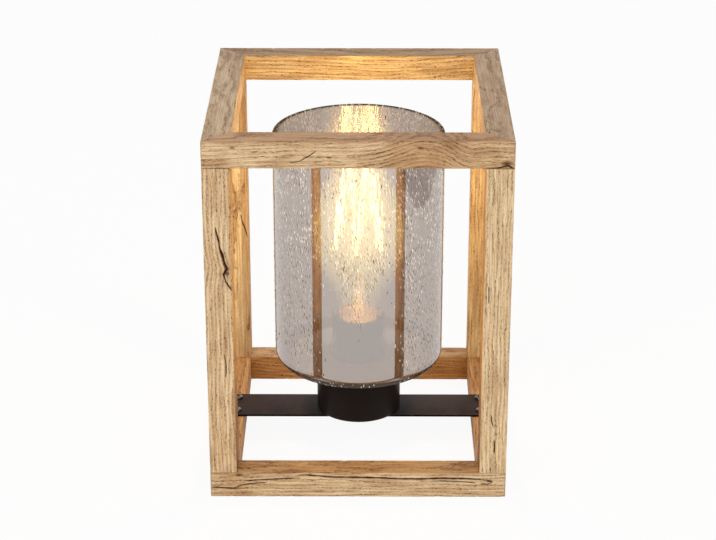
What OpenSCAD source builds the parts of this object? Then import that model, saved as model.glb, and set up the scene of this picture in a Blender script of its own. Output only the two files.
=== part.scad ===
// Lantern table lamp: a square oak frame stands round an open-topped glass
// cylinder, which rests on a metal cup on a flat crossbar.
// The origin is the middle of the footprint, on the surface that the lamp
// stands on.  +Z is up and the front is towards -Y.  Sizes are millimetres.

/* [Wooden frame] */
// Width and depth of the square frame, outside
frame_w = 200; // [165:1:260]
// Height of the lamp
frame_h = 256; // [200:1:330]
// Side of the square wood section
wood = 18.5; // [15:0.5:23]
// Rounding of the long edges of the wood
wood_ease = 0.8; // [0.3:0.1:1.5]
// Diameter of the dowels that pin the posts to the rails
dowel_d = 6; // [5:0.5:6]
// Length of a dowel
dowel_l = 24; // [16:1:26]
// Wood left between a dowel and the outside of the frame
dowel_cover = 2; // [1.5:0.1:2.5]

/* [Crossbar] */
// Width of the flat bar
bar_w = 33; // [26:1:45]
// Thickness of the flat bar
bar_t = 1.5; // [1:0.1:3]
// How far each end of the bar lies on its side rail
bar_lap = 11.5; // [9:0.5:14]
// Rounding of the corners of the bar
bar_corner = 2; // [0.5:0.5:4]
// Distance between the two screws of one end
bar_screw_gap = 20; // [12:1:22]
// Shank diameter of the bar screws
screw_d = 3.5; // [3:0.1:4]
// Length of the bar screws under the head
screw_l = 14; // [8:1:14]
// Head diameter of the bar screws
screw_head_d = 7; // [6:0.5:8]
// Head height of the bar screws
screw_head_h = 2.2; // [1.5:0.1:2.6]

/* [Cup] */
// Outside diameter of the cup
cup_d = 59; // [50:1:80]
// Height of the cup with its cover
cup_h = 37; // [30:1:50]
// Sheet thickness of the cup and its cover
cup_t = 1.2; // [0.8:0.1:1.8]
// Width of the ring-shaped cover that carries the glass
cup_lip = 5.5; // [4:0.5:6.5]
// Outside rounding of the lower edge of the cup
cup_round = 2; // [1.8:0.1:3]
// Depth of the skirt of the cover inside the cup
cover_skirt = 4; // [3:0.5:6]
// Thickness of the soft ring between the cup and the glass
seat_t = 1; // [0.5:0.1:2]
// Height of the cable hole above the floor of the cup
inlet_z = 11; // [9:0.5:14]
// Diameter of the cable that the inlet takes
cable_d = 6; // [5:0.5:7]
// Wall of the cable bush
bush_wall = 1.5; // [1:0.1:2]

/* [Glass] */
// Outside diameter of the glass cylinder
glass_d = 118; // [90:1:128]
// Height of the glass cylinder
glass_h = 170; // [130:1:220]
// Wall of the glass
glass_t = 3; // [2:0.5:4]
// Thickness of the glass base
glass_base = 4; // [3:0.5:6]
// Outside rounding between the wall and the base of the glass
glass_corner = 10; // [7:1:16]
// Gap all round between the glass and the lampholder in its hole
glass_play = 1.5; // [0.8:0.1:2.5]

/* [Lampholder] */
// Outside diameter of the lampholder
holder_d = 37; // [36:0.5:45]
// Height of the lower shell of the lampholder
holder_base_h = 20; // [17:1:24]
// Height of the upper sleeve of the lampholder
holder_sleeve_h = 36; // [34:1:40]
// Wall of the lampholder
holder_t = 1.8; // [1.2:0.1:2]
// Diameter of the mouth of the lampholder
holder_mouth_d = 31; // [30:0.5:32]
// Height of the lampholder above the floor of the cup
holder_lift = 14.8; // [10:0.1:18]
// Outside diameter of the threaded tube
nipple_d = 10; // [8:1:10]
// Wall of the threaded tube
nipple_t = 1.2; // [1:0.1:1.5]
// Size across the flats of the lock nuts
nut_flats = 14; // [13:1:17]
// Thickness of the lock nuts
nut_t = 3; // [2:0.5:4]
// Outside diameter of the washer under the crossbar
washer_d = 18; // [17:1:24]
// Thickness of the washer
washer_t = 1; // [0.5:0.1:1.5]

/* [Bulb] */
// Largest diameter of the bulb
bulb_d = 64; // [56:1:80]
// Length of the bulb from its contact to its top
bulb_l = 148; // [128:1:160]
// Height of the widest place above the contact
bulb_belly_z = 82; // [76:1:90]
// Wall of the bulb glass
bulb_t = 0.9; // [0.6:0.1:1.2]
// Diameter of the screw cap over its thread
cap_d = 26.2; // [26:0.1:26.5]
// Length of the screw cap with its contact
cap_l = 26; // [25:0.5:28]
// Upward runs of the filament, each with a hook on top
filament_hooks = 6; // [4:1:9]
// Diameter of the filament
filament_d = 0.7; // [0.4:0.1:1]
// Radius of the upper ring of hooks
hook_top_r = 10; // [7:0.5:12]
// Radius of the lower ring of hooks
hook_low_r = 18; // [13:0.5:20]
// Diameter of the hook wire
hook_d = 0.6; // [0.4:0.1:0.8]

/* [Hidden] */

// Fits
fixed_fit = 0.05;       // radial gap of a piece that is pressed or screwed in
running_fit = 0.3;      // radial gap between the bulb and the lampholder
screw_play = 0.25;      // radial gap of the screws in the crossbar
glue_room = 1;          // depth left past the end of a dowel or screw
steps = 96;             // sides of a large round piece
fine = 48;              // sides of a small round piece

// Heights
post_h = frame_h - 2 * wood;
bar_z = wood;
cup_z = bar_z + bar_t;
floor_z = cup_z + cup_t;
seat_z = cup_z + cup_h;
glass_z = seat_z + seat_t;
holder_z = floor_z + holder_lift;
sleeve_z = holder_z + holder_base_h;

// Places in the plan
corner = (frame_w - wood) / 2;
dowel_shift = wood / 2 - dowel_cover - dowel_d / 2;
bar_half = frame_w / 2 - wood + bar_lap;
screw_x = bar_half - bar_lap / 2;

// Lampholder
core_r = holder_d / 2 - holder_t - fixed_fit;
ledge = 2.4;                            // ledge in the base that carries the core
core_t = 8;                             // thickness of the insulating core
core_z = sleeve_z - 2;
shell_z = core_z + core_t;
shell_t = 0.5;                          // sheet of the screw shell
shell_r = cap_d / 2 + running_fit;      // bore of the screw shell
shell_h = 23;                           // height of the screw shell
shell_foot_r = 7;                       // bore of the foot of the screw shell
recess_h = 1.5;                         // depth of the recess round the contact spring
boss_r = nipple_d / 2 + 3.2;            // boss that takes the threaded tube
boss_h = 6;
tube_top = holder_z + boss_h + 2;
tube_low = bar_z - washer_t - nut_t - 1;
terminal_r = 9.5;                       // distance of a terminal screw from the axis
terminal_d = 3;
terminal_end = 1.5;                     // core left over the end of a terminal screw

// Bulb, measured from its contact
bulb_z = shell_z + 2.4;
tip_r = 4.6;
tip_h = 1.4;
insulator_h = 5;
insulator_r = cap_d / 2 - 2.2;          // insulator where the cap grips it
cap_t = 0.4;
neck_r = cap_d / 2 - cap_t - fixed_fit; // glass inside the cap
neck_in = 10;                           // depth of the glass in the cap
stem_base = cap_l + 5;
stem_r = 4.2;
press_z = stem_base + 24;               // top of the glass press
press_r = stem_r + 0.5;                 // where the wires leave the press
rod_r = 1.1;
hook_low_z = press_z + 25;
hook_top_z = bulb_l - 8;
button_r = 2;
hairpin_r = (hook_d + filament_d) / 2 + 0.15;

// Cable inlet
inlet_h = floor_z + inlet_z;
bush_bore_r = cable_d / 2 + 0.25;
bush_r = bush_bore_r + bush_wall;
bush_flange = 1.4;                      // how far the flanges stand out
bush_flange_t = 1.6;

// Colours
oak = "#c8a06c";
oak_end = "#a97f4e";
black_metal = "#2b2524";
zinc = "#b9bcc0";
brass = "#c9a24c";
ceramic = "#e9e6df";
black_plastic = "#26262a";
smoke = "#b4a8a0";
clear = "#e8eef0";
glow = "#ffb347";

// ---- helpers -------------------------------------------------------------

// Points of an arc round c from angle a0 to a1
function arc(c, r, a0, a1, n = 6) =
    [for (i = [0 : n]) c + r * [cos(a0 + (a1 - a0) * i / n), sin(a0 + (a1 - a0) * i / n)]];

// Outline of a rectangle with rounded corners, centred
function rounded_box(w, h, r, n = 4) = concat(
    arc([w / 2 - r, h / 2 - r], r, 0, 90, n),
    arc([r - w / 2, h / 2 - r], r, 90, 180, n),
    arc([r - w / 2, r - h / 2], r, 180, 270, n),
    arc([w / 2 - r, r - h / 2], r, 270, 360, n));

// Point of a cubic curve from a to b, with handles p and q
function curve_point(a, p, q, b, t) =
    pow(1 - t, 3) * a + 3 * pow(1 - t, 2) * t * p + 3 * (1 - t) * t * t * q + pow(t, 3) * b;

// The points of that curve after its first one
function curve(a, p, q, b, n) = [for (i = [1 : n]) curve_point(a, p, q, b, i / n)];

function unit(v) = v / norm(v);

// One ring of a wire: its plane is square to the way through the point
function wire_ring(pts, i, r, sides, side_way) =
    let (
        last = len(pts) - 1,
        ahead = unit(pts[min(i + 1, last)] - pts[max(i - 1, 0)]),
        way = side_way == [0, 0, 0] ? [pts[i].x, pts[i].y, 0] : side_way,
        across = unit(way - (way * ahead) * ahead),
        third = cross(ahead, across)
    )
    [for (k = [0 : sides - 1])
        pts[i] + r * (cos(360 * k / sides) * across + sin(360 * k / sides) * third)];

// A wire along a list of points.  side_way is a direction that the wire never
// runs in; left out, it is the direction away from the axis of the lamp.
module wire(pts, d, sides = 6, side_way = [0, 0, 0]) {
    last = len(pts) - 1;
    points = [for (i = [0 : last]) each wire_ring(pts, i, d / 2, sides, side_way)];
    sides_of = [for (i = [0 : last - 1], k = [0 : sides - 1])
        let (a = i * sides + k, b = i * sides + (k + 1) % sides)
        each [[a, a + sides, b], [b, a + sides, b + sides]]];
    start = [for (k = [1 : sides - 2]) [0, k, k + 1]];
    end = [for (k = [1 : sides - 2])
        [last * sides, last * sides + k + 1, last * sides + k]];
    polyhedron(points, concat(sides_of, start, end));
}

// A washer or any other short round piece with a hole
module ring(outer_r, inner_r, h, n = fine) {
    difference() {
        cylinder(h = h, r = outer_r, $fn = n);
        translate([0, 0, -1])
            cylinder(h = h + 2, r = inner_r, $fn = n);
    }
}

// ---- wooden frame --------------------------------------------------------

// Where the dowel of the front rail meets the front left post
front_dowel = [-corner + dowel_shift, -corner - dowel_shift];
// Where the dowel of the left rail meets the same post
left_dowel = [-corner - dowel_shift, -corner + dowel_shift];

// A bore for half a dowel, open at z and running up (way 1) or down (way -1)
module dowel_bore(place, z, way) {
    depth = dowel_l / 2 + glue_room;
    start = way > 0 ? z - 1 : z - depth;
    translate([place.x, place.y, start])
        cylinder(h = depth + 1, r = dowel_d / 2 + fixed_fit, $fn = fine);
}

// A rail of the front side, mitred at both ends, with its foot at z
module plain_rail(z) {
    out = frame_w / 2;
    in = out - wood;
    intersection() {
        translate([-out, -corner, z + wood / 2])
            rotate([90, 0, 90])
                linear_extrude(frame_w)
                    polygon(rounded_box(wood, wood, wood_ease, 3));
        translate([0, 0, z - 1])
            linear_extrude(wood + 2)
                polygon([
                    [wood_ease - out, -out], [out - wood_ease, -out],
                    [out - wood_ease / 2, wood_ease / 2 - out], [in, -in],
                    [-in, -in], [wood_ease / 2 - out, wood_ease / 2 - out]
                ]);
    }
}

// turn counts quarter turns from the front rail: right, back, left
module top_rail(turn) {
    color(oak)
        rotate([0, 0, 90 * turn])
            difference() {
                plain_rail(frame_h - wood);
                dowel_bore(front_dowel, frame_h - wood, 1);
                dowel_bore([-front_dowel.x, front_dowel.y], frame_h - wood, 1);
            }
}

module bottom_rail(turn) {
    color(oak)
        rotate([0, 0, 90 * turn])
            difference() {
                plain_rail(0);
                dowel_bore(front_dowel, wood, -1);
                dowel_bore([-front_dowel.x, front_dowel.y], wood, -1);
            }
}

// A side rail of the bottom frame also takes two screws of the crossbar
module bottom_side_rail(turn) {
    depth = screw_l - bar_t + glue_room;
    difference() {
        bottom_rail(turn);
        for (y = [-1, 1] * bar_screw_gap / 2)
            translate([(turn == 1 ? 1 : -1) * screw_x, y, bar_z - depth])
                cylinder(h = depth + 1, r = screw_d / 2 + fixed_fit, $fn = fine);
    }
}

module post(turn) {
    color(oak)
        rotate([0, 0, 90 * turn])
            difference() {
                translate([-corner, -corner, wood])
                    linear_extrude(post_h)
                        polygon(rounded_box(wood, wood, wood_ease, 3));
                for (place = [front_dowel, left_dowel]) {
                    dowel_bore(place, wood, 1);
                    dowel_bore(place, frame_h - wood, -1);
                }
            }
}

// The eight dowels at height z
module dowels(z) {
    chamfer = 0.6;
    color(oak_end)
        for (turn = [0 : 3], place = [front_dowel, left_dowel])
            rotate([0, 0, 90 * turn])
                translate([place.x, place.y, z - dowel_l / 2])
                    rotate_extrude($fn = fine)
                        polygon([
                            [0, 0], [dowel_d / 2 - chamfer, 0], [dowel_d / 2, chamfer],
                            [dowel_d / 2, dowel_l - chamfer],
                            [dowel_d / 2 - chamfer, dowel_l], [0, dowel_l]
                        ]);
}

// ---- crossbar ------------------------------------------------------------

module crossbar() {
    color(black_metal)
        translate([0, 0, bar_z])
            difference() {
                linear_extrude(bar_t)
                    polygon(rounded_box(2 * bar_half, bar_w, bar_corner));
                for (x = [-screw_x, screw_x], y = [-1, 1] * bar_screw_gap / 2)
                    translate([x, y, -1])
                        cylinder(h = bar_t + 2, r = screw_d / 2 + screw_play, $fn = fine);
                translate([0, 0, -1])
                    cylinder(h = bar_t + 2, r = nipple_d / 2 + fixed_fit, $fn = fine);
            }
}

// Pan-head wood screw with a cross recess, its head's underside at the origin
module bar_screw() {
    point = 3;
    dome = screw_head_h * 0.6;
    slot = 0.8;
    slot_l = screw_head_d / 2;
    slot_h = screw_head_h / 2;
    difference() {
        rotate_extrude($fn = fine)
            polygon(concat(
                [[0, -screw_l], [screw_d / 2, point - screw_l], [screw_d / 2, 0],
                 [screw_head_d / 2, 0], [screw_head_d / 2, screw_head_h - dome]],
                curve([screw_head_d / 2, screw_head_h - dome],
                      [screw_head_d / 2, screw_head_h - dome / 3],
                      [screw_head_d / 4, screw_head_h], [0, screw_head_h], 5)));
        for (turn = [0, 90])
            rotate([0, 0, turn])
                translate([-slot_l / 2, -slot / 2, screw_head_h - slot_h])
                    cube([slot_l, slot, 2 * slot_h]);
    }
}

module crossbar_screws() {
    color(black_metal)
        for (x = [-screw_x, screw_x], y = [-1, 1] * bar_screw_gap / 2)
            translate([x, y, bar_z + bar_t])
                bar_screw();
}

// ---- cup and its fastening -----------------------------------------------

// Section of the cup: floor and wall of one sheet, open at the top
module cup_section() {
    r = cup_d / 2;
    b = cup_round;
    rim = cup_h - cup_t;
    hole = nipple_d / 2 + fixed_fit;
    polygon(concat(
        [[hole, 0]],
        arc([r - b, b], b, 270, 360),
        [[r, rim], [r - cup_t, rim]],
        arc([r - b, b], b - cup_t, 360, 270),
        [[hole, cup_t]]));
}

module holder_cup() {
    color(black_metal)
        translate([0, 0, cup_z])
            difference() {
                rotate_extrude($fn = steps)
                    cup_section();
                translate([0, 0, inlet_h - cup_z])
                    rotate([-90, 0, 0])
                        cylinder(h = cup_d, r = bush_r + fixed_fit, $fn = fine);
            }
}

// Ring-shaped cover: it lies on the rim of the cup, with a skirt inside the wall
module cup_cover() {
    r = cup_d / 2;
    skirt_r = r - cup_t - fixed_fit;
    low = seat_z - cup_t;
    color(black_metal)
        rotate_extrude($fn = steps)
            polygon(concat(
                [[r - cup_lip, low], [r - cup_lip, seat_z]],
                arc([r - cup_t, low], cup_t, 90, 0),
                [[skirt_r, low], [skirt_r, low - cover_skirt],
                 [skirt_r - cup_t, low - cover_skirt], [skirt_r - cup_t, low]]));
}

module glass_seat_ring() {
    color(black_plastic)
        translate([0, 0, seat_z])
            ring(cup_d / 2 - cup_round, cup_d / 2 - cup_lip, seat_t, steps);
}

// Snap-in bush: a sleeve with a flange on each side of the sheet
module cable_bush() {
    r = bush_r;
    flange_r = bush_r + bush_flange;
    bore = bush_bore_r;
    outer_y = cup_d / 2 + fixed_fit;
    inner_r = cup_d / 2 - cup_t;
    inner_y = sqrt(inner_r * inner_r - flange_r * flange_r) - fixed_fit;
    soft = 0.5;
    color(black_plastic)
        translate([0, 0, inlet_h])
            rotate([-90, 0, 0])
                rotate_extrude($fn = fine)
                    polygon([
                        [bore, inner_y - bush_flange_t], [r, inner_y - bush_flange_t],
                        [flange_r, inner_y - 0.3], [flange_r, inner_y], [r, inner_y],
                        [r, outer_y], [flange_r, outer_y],
                        [flange_r, outer_y + bush_flange_t - soft],
                        [flange_r - soft, outer_y + bush_flange_t],
                        [bore + soft, outer_y + bush_flange_t],
                        [bore, outer_y + bush_flange_t - soft]
                    ]);
}

module threaded_tube() {
    color(zinc)
        translate([0, 0, tube_low])
            ring(nipple_d / 2, nipple_d / 2 - nipple_t, tube_top - tube_low);
}

module lock_nut(z) {
    color(zinc)
        translate([0, 0, z])
            difference() {
                cylinder(h = nut_t, d = nut_flats / cos(30), $fn = 6);
                translate([0, 0, -1])
                    cylinder(h = nut_t + 2, r = nipple_d / 2 + fixed_fit, $fn = fine);
            }
}

module bar_washer() {
    color(zinc)
        translate([0, 0, bar_z - washer_t])
            ring(washer_d / 2, nipple_d / 2 + fixed_fit, washer_t);
}

// ---- lampholder ----------------------------------------------------------

// Lower shell: a boss on the threaded tube, a round shoulder and a wall
module lampholder_base() {
    r = holder_d / 2;
    round = 6;
    bore = nipple_d / 2 + fixed_fit;
    in_r = core_r - ledge;
    seat_h = holder_base_h - (sleeve_z - core_z);
    color(black_plastic)
        translate([0, 0, holder_z])
            rotate_extrude($fn = steps)
                polygon(concat(
                    [[bore, 0], [boss_r, 0], [boss_r, boss_h / 2]],
                    arc([r - round, boss_h / 2 + round], round, 270, 360),
                    [[r, holder_base_h], [core_r + fixed_fit, holder_base_h],
                     [core_r + fixed_fit, seat_h], [in_r, seat_h]],
                    arc([r - round, boss_h / 2 + round], round - (r - in_r), 360, 270),
                    [[boss_r, boss_h], [bore, boss_h]]));
}

// Upper sleeve, open at the top, with a thick mouth
module lampholder_sleeve() {
    r = holder_d / 2;
    mouth = holder_mouth_d / 2;
    bore = core_r + fixed_fit;
    lip = 3;                            // height of the thick mouth
    soft = 0.8;
    color(zinc)
        translate([0, 0, sleeve_z])
            rotate_extrude($fn = steps)
                polygon(concat(
                    [[bore, 0], [r, 0]],
                    arc([r - soft, holder_sleeve_h - soft], soft, 0, 90, 4),
                    arc([mouth + soft, holder_sleeve_h - soft], soft, 90, 180, 4),
                    [[mouth, holder_sleeve_h - lip],
                     [bore, holder_sleeve_h - lip - (bore - mouth)]]));
}

// Insulating core with a recess for the contact and two terminal bores
module lampholder_core() {
    wire_hole_r = 1.5;
    color(ceramic)
        translate([0, 0, core_z])
            difference() {
                cylinder(h = core_t, r = core_r, $fn = steps);
                for (x = [-terminal_r, terminal_r])
                    translate([x, 0, -1])
                        cylinder(h = core_t - terminal_end + 1,
                                 r = terminal_d / 2 + fixed_fit, $fn = fine);
                translate([0, 0, core_t - recess_h])
                    cylinder(h = recess_h + 1, r = shell_foot_r, $fn = fine);
                translate([0, 0, -1])
                    cylinder(h = core_t + 2, r = wire_hole_r, $fn = fine);
            }
}

// Screw shell: a thin cup with a flanged foot and a rolled mouth
module screw_shell() {
    foot = shell_foot_r;
    roll = 0.8;
    color(brass)
        translate([0, 0, shell_z])
            rotate_extrude($fn = steps)
                polygon([
                    [foot, 0], [shell_r + shell_t, 0], [shell_r + shell_t, shell_h - roll],
                    [shell_r + shell_t + roll, shell_h], [shell_r + roll, shell_h],
                    [shell_r, shell_h - roll], [shell_r, shell_t], [foot, shell_t]
                ]);
}

// Contact spring: a strip that rises from the core under the tip of the bulb
module centre_contact() {
    strip = 5;
    thick = 0.5;
    reach = 4.5;
    foot_z = core_z + core_t - recess_h;
    rise = bulb_z - running_fit - foot_z;
    color(brass)
        translate([0, strip / 2, foot_z])
            rotate([90, 0, 0])
                linear_extrude(strip)
                    contact_outline(reach, thick, rise);
}

// Side view of the contact spring: a foot, a bend and a rising arm
module contact_outline(reach, thick, rise) {
    bend = rise / 2;
    polygon(concat(
        [[-reach, 0]],
        arc([reach - bend, bend], bend, 270, 450, 10),
        [[-reach + 1, rise], [-reach + 1, rise - thick]],
        arc([reach - bend, bend], bend - thick, 450, 270, 10),
        [[-reach, thick]]));
}

module terminal_screws() {
    head = 2;
    slot = 0.8;
    color(brass)
        for (x = [-terminal_r, terminal_r])
            translate([x, 0, core_z - head])
                difference() {
                    union() {
                        cylinder(h = head, r = terminal_d / 2 + 1.1, $fn = fine);
                        cylinder(h = head + core_t - terminal_end - glue_room,
                                 r = terminal_d / 2, $fn = fine);
                    }
                    translate([-terminal_d, -slot / 2, -1])
                        cube([2 * terminal_d, slot, slot + 1]);
                }
}

// ---- glass ---------------------------------------------------------------

// Open-topped cylinder with a hole in its base for the lampholder
module glass_shade() {
    r = glass_d / 2;
    in_r = r - glass_t;
    in_corner = glass_corner - glass_t;
    hole = holder_d / 2 + glass_play;
    edge = glass_t / 2;
    color(smoke, 0.4)
        translate([0, 0, glass_z])
            rotate_extrude($fn = steps)
                polygon(concat(
                    [[hole, 0.6], [hole + 0.6, 0]],
                    arc([r - glass_corner, glass_corner], glass_corner, 270, 360, 10),
                    arc([r - edge, glass_h - edge], edge, 0, 180, 8),
                    arc([in_r - in_corner, glass_base + in_corner], in_corner, 360, 270, 8),
                    [[hole + 0.6, glass_base], [hole, glass_base - 0.6]]));
}

// ---- bulb ----------------------------------------------------------------

module bulb_tip() {
    color(zinc)
        translate([0, 0, bulb_z])
            rotate_extrude($fn = fine)
                polygon(concat(
                    [[0, tip_h], [0, 0]],
                    curve([0, 0], [tip_r / 2, 0], [tip_r, tip_h / 3], [tip_r, tip_h], 6)));
}

module bulb_insulator() {
    top_r = insulator_r;
    color(black_plastic)
        translate([0, 0, bulb_z])
            rotate_extrude($fn = fine)
                polygon([
                    [0, tip_h + fixed_fit], [tip_r + 0.4, tip_h + fixed_fit],
                    [top_r, insulator_h], [top_r, insulator_h + 1.5], [0, insulator_h + 1.5]
                ]);
}

// Metal cap: an open tube with a turned-in foot round the insulator
module bulb_cap() {
    r = cap_d / 2;
    foot = insulator_r + fixed_fit;
    color(zinc)
        translate([0, 0, bulb_z])
            rotate_extrude($fn = steps)
                polygon([
                    [foot, insulator_h], [r - 0.8, insulator_h], [r, insulator_h + 1.6],
                    [r, cap_l], [r - cap_t, cap_l], [r - cap_t, insulator_h + 1.9],
                    [r - 1.1, insulator_h + cap_t], [foot, insulator_h + cap_t]
                ]);
}

// Outline of the bulb glass, from the neck up to the top, set in by t
function bulb_line(t) =
    let (
        belly = [bulb_d / 2 - t, bulb_belly_z],
        neck = [neck_r - t, cap_l - neck_in],
        collar = [neck_r - t, cap_l],
        top = [0, bulb_l - t],
        low_h = bulb_belly_z - cap_l,
        top_h = bulb_l - bulb_belly_z
    )
    concat(
        [neck, collar],
        curve(collar, collar + [0, low_h * 0.42], belly - [0, low_h * 0.42], belly, 18),
        curve(belly, belly + [0, top_h * 0.4], top + [(bulb_d / 2 - t) * 0.62, 0], top, 18));

module bulb_envelope() {
    outer = bulb_line(0);
    inner = bulb_line(bulb_t);
    last = len(inner) - 1;
    color(clear, 0.35)
        translate([0, 0, bulb_z])
            rotate_extrude($fn = steps)
                polygon(concat(outer, [for (i = [last : -1 : 0]) inner[i]]));
}

// Stem: a flare sealed to the neck, a tube, the press and a rod with a button
module bulb_stem() {
    wall = 1;
    flare_r = neck_r - bulb_t - fixed_fit;
    flare_z = stem_base - 7;
    tube_r = stem_r - wall;
    press_low = press_z - 4;
    color(clear, 0.6)
        translate([0, 0, bulb_z])
            union() {
                rotate_extrude($fn = fine)
                    polygon(concat(
                        [[flare_r, flare_z]],
                        curve([flare_r, flare_z], [stem_r + 1, flare_z + 1],
                              [stem_r, stem_base], [stem_r, stem_base + 4], 8),
                        [[stem_r, press_low]],
                        curve([stem_r, press_low], [stem_r, press_z], [rod_r, press_z - 1],
                              [rod_r, press_z + 4], 6),
                        [[rod_r, hook_top_z], [0, hook_top_z], [0, press_low - 4],
                         [tube_r, press_low - 6], [tube_r, stem_base + 4]],
                        curve([tube_r, stem_base + 4], [tube_r, stem_base],
                              [stem_r, flare_z + 1], [flare_r - wall, flare_z], 8)));
                translate([0, 0, hook_top_z])
                    sphere(r = button_r, $fn = fine);
            }
}

// A point on the ring of radius r and height z at angle a
function on_ring(r, a, z) = [r * cos(a), r * sin(a), z];

// Hook angles: the upper hooks stand between the lower ones
hook_step = 360 / filament_hooks;
lead_turn = 10;         // the leads stand this far each side of the first place
hook_turn = 25;         // turn of the whole cage about the axis
function low_angle(i) = hook_turn + hook_step * i;
function top_angle(i) = hook_turn + hook_step * (i + 0.5);

// Half a turn of filament round a hook: side 1 goes over it, -1 under it
function hairpin(r, a, z, side) = [for (i = [0 : 4])
    let (t = 180 - 45 * i)
    on_ring(r, a, z) + hairpin_r * [-sin(a) * cos(t), cos(a) * cos(t), side * sin(t)]];

// The hooks of one ring: each leaves the stem and ends just past the filament
module hooks(ring_r, z, root_r, root_z, angles) {
    over = 1.2;
    color(zinc)
        for (a = angles)
            wire([on_ring(root_r, a, root_z),
                  on_ring((root_r + ring_r) / 2, a, (root_z * 0.35 + z * 0.65)),
                  on_ring(ring_r - 1.5, a, z), on_ring(ring_r + over, a, z)],
                 hook_d, 6, [-sin(a), cos(a), 0]);
}

module filament_hooks_upper() {
    translate([0, 0, bulb_z])
        hooks(hook_top_r, hook_top_z, button_r + 0.1, hook_top_z,
              [for (i = [0 : filament_hooks - 1]) top_angle(i)]);
}

module filament_hooks_lower() {
    translate([0, 0, bulb_z])
        hooks(hook_low_r, hook_low_z, press_r, press_z - 5,
              [for (i = [1 : filament_hooks - 1]) low_angle(i)]);
}

// Foot of the filament on lead number 1 or -1
function lead_top(way) = on_ring(hook_low_r, low_angle(0) + way * lead_turn, hook_low_z);

module bulb_leads() {
    root_z = press_z - 8;
    color(zinc)
        translate([0, 0, bulb_z])
            for (way = [-1, 1]) {
                a = low_angle(0) + way * lead_turn;
                wire([on_ring(press_r, a, root_z),
                      on_ring(hook_low_r * 0.55, a, root_z + 6),
                      on_ring(hook_low_r, a, hook_low_z - 5), lead_top(way)],
                     hook_d, 6, [-sin(a), cos(a), 0]);
            }
}

// One unbroken wire: up from a lead, over every upper hook, under every lower one
module filament() {
    start = lead_top(1) + [0, 0, 0.05];
    end = lead_top(-1) + [0, 0, 0.05];
    path = concat(
        [start],
        [for (i = [0 : filament_hooks - 1]) each concat(
            hairpin(hook_top_r, top_angle(i), hook_top_z, 1),
            i < filament_hooks - 1
                ? hairpin(hook_low_r, low_angle(i + 1), hook_low_z, -1) : [])],
        [end]);
    color(glow)
        translate([0, 0, bulb_z])
            wire(path, filament_d);
}

top_rail(0);  // top_rail_front
top_rail(1);  // top_rail_right
top_rail(2);  // top_rail_back
top_rail(3);  // top_rail_left
bottom_rail(0);  // bottom_rail_front
bottom_side_rail(1);  // bottom_rail_right
bottom_rail(2);  // bottom_rail_back
bottom_side_rail(3);  // bottom_rail_left
post(0);  // post_front_left
post(1);  // post_front_right
post(2);  // post_back_right
post(3);  // post_back_left
dowels(frame_h - wood);  // top_dowels
dowels(wood);  // bottom_dowels
crossbar();
crossbar_screws();
holder_cup();
cup_cover();
glass_seat_ring();
cable_bush();
threaded_tube();
lock_nut(floor_z);  // cup_nut
lock_nut(bar_z - washer_t - nut_t);  // bar_nut
bar_washer();
lampholder_base();
lampholder_sleeve();
lampholder_core();
screw_shell();
centre_contact();
terminal_screws();
glass_shade();
bulb_tip();
bulb_insulator();
bulb_cap();
bulb_envelope();
bulb_stem();
filament_hooks_upper();
filament_hooks_lower();
bulb_leads();
filament();
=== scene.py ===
"""Looks of the lantern table lamp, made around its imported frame.

Sizes are millimetres, in the frame of the part: the origin is the middle of the
footprint, +Z is up and the front is towards -Y.  Meshes are made in millimetres
and brought to metres when they become pieces.
"""

import logging
import math
import random
from collections.abc import Iterable, Sequence
from dataclasses import dataclass
from enum import Enum
from functools import reduce

import bmesh
import bpy
from mathutils import Matrix, Vector, noise


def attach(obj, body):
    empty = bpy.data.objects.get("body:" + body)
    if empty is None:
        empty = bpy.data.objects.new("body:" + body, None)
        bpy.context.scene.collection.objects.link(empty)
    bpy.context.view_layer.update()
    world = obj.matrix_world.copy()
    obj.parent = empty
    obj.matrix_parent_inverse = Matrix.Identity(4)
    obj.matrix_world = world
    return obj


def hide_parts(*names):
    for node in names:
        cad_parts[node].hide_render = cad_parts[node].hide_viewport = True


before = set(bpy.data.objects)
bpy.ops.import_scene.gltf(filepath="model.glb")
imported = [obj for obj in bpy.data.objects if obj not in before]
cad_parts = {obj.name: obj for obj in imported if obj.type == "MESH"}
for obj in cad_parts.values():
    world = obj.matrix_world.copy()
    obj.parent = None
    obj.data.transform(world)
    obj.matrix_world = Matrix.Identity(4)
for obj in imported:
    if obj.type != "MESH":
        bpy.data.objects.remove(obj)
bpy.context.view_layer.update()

MM = 0.001
LOG = logging.getLogger("lantern_lamp")

Point = tuple[float, float]
Triple = tuple[float, float, float]
Colour = tuple[float, float, float, float]
Shape = bmesh.types.BMesh
Mesh = bpy.types.Mesh
Material = bpy.types.Material

BLACK: Colour = (0.0, 0.0, 0.0, 1.0)
WHITE: Colour = (1.0, 1.0, 1.0, 1.0)


# ---- shader tools ----


def srgb(red: float, green: float, blue: float) -> Colour:
    """Turns a screen colour into the linear one that shaders use.

    Args:
        red: Red, 0 to 255.
        green: Green, 0 to 255.
        blue: Blue, 0 to 255.

    Returns:
        The linear colour, with full alpha.
    """
    parts = [c / 255 for c in (red, green, blue)]
    linear = [c / 12.92 if c <= 0.04045 else ((c + 0.055) / 1.055) ** 2.4 for c in parts]
    return (linear[0], linear[1], linear[2], 1.0)


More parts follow.
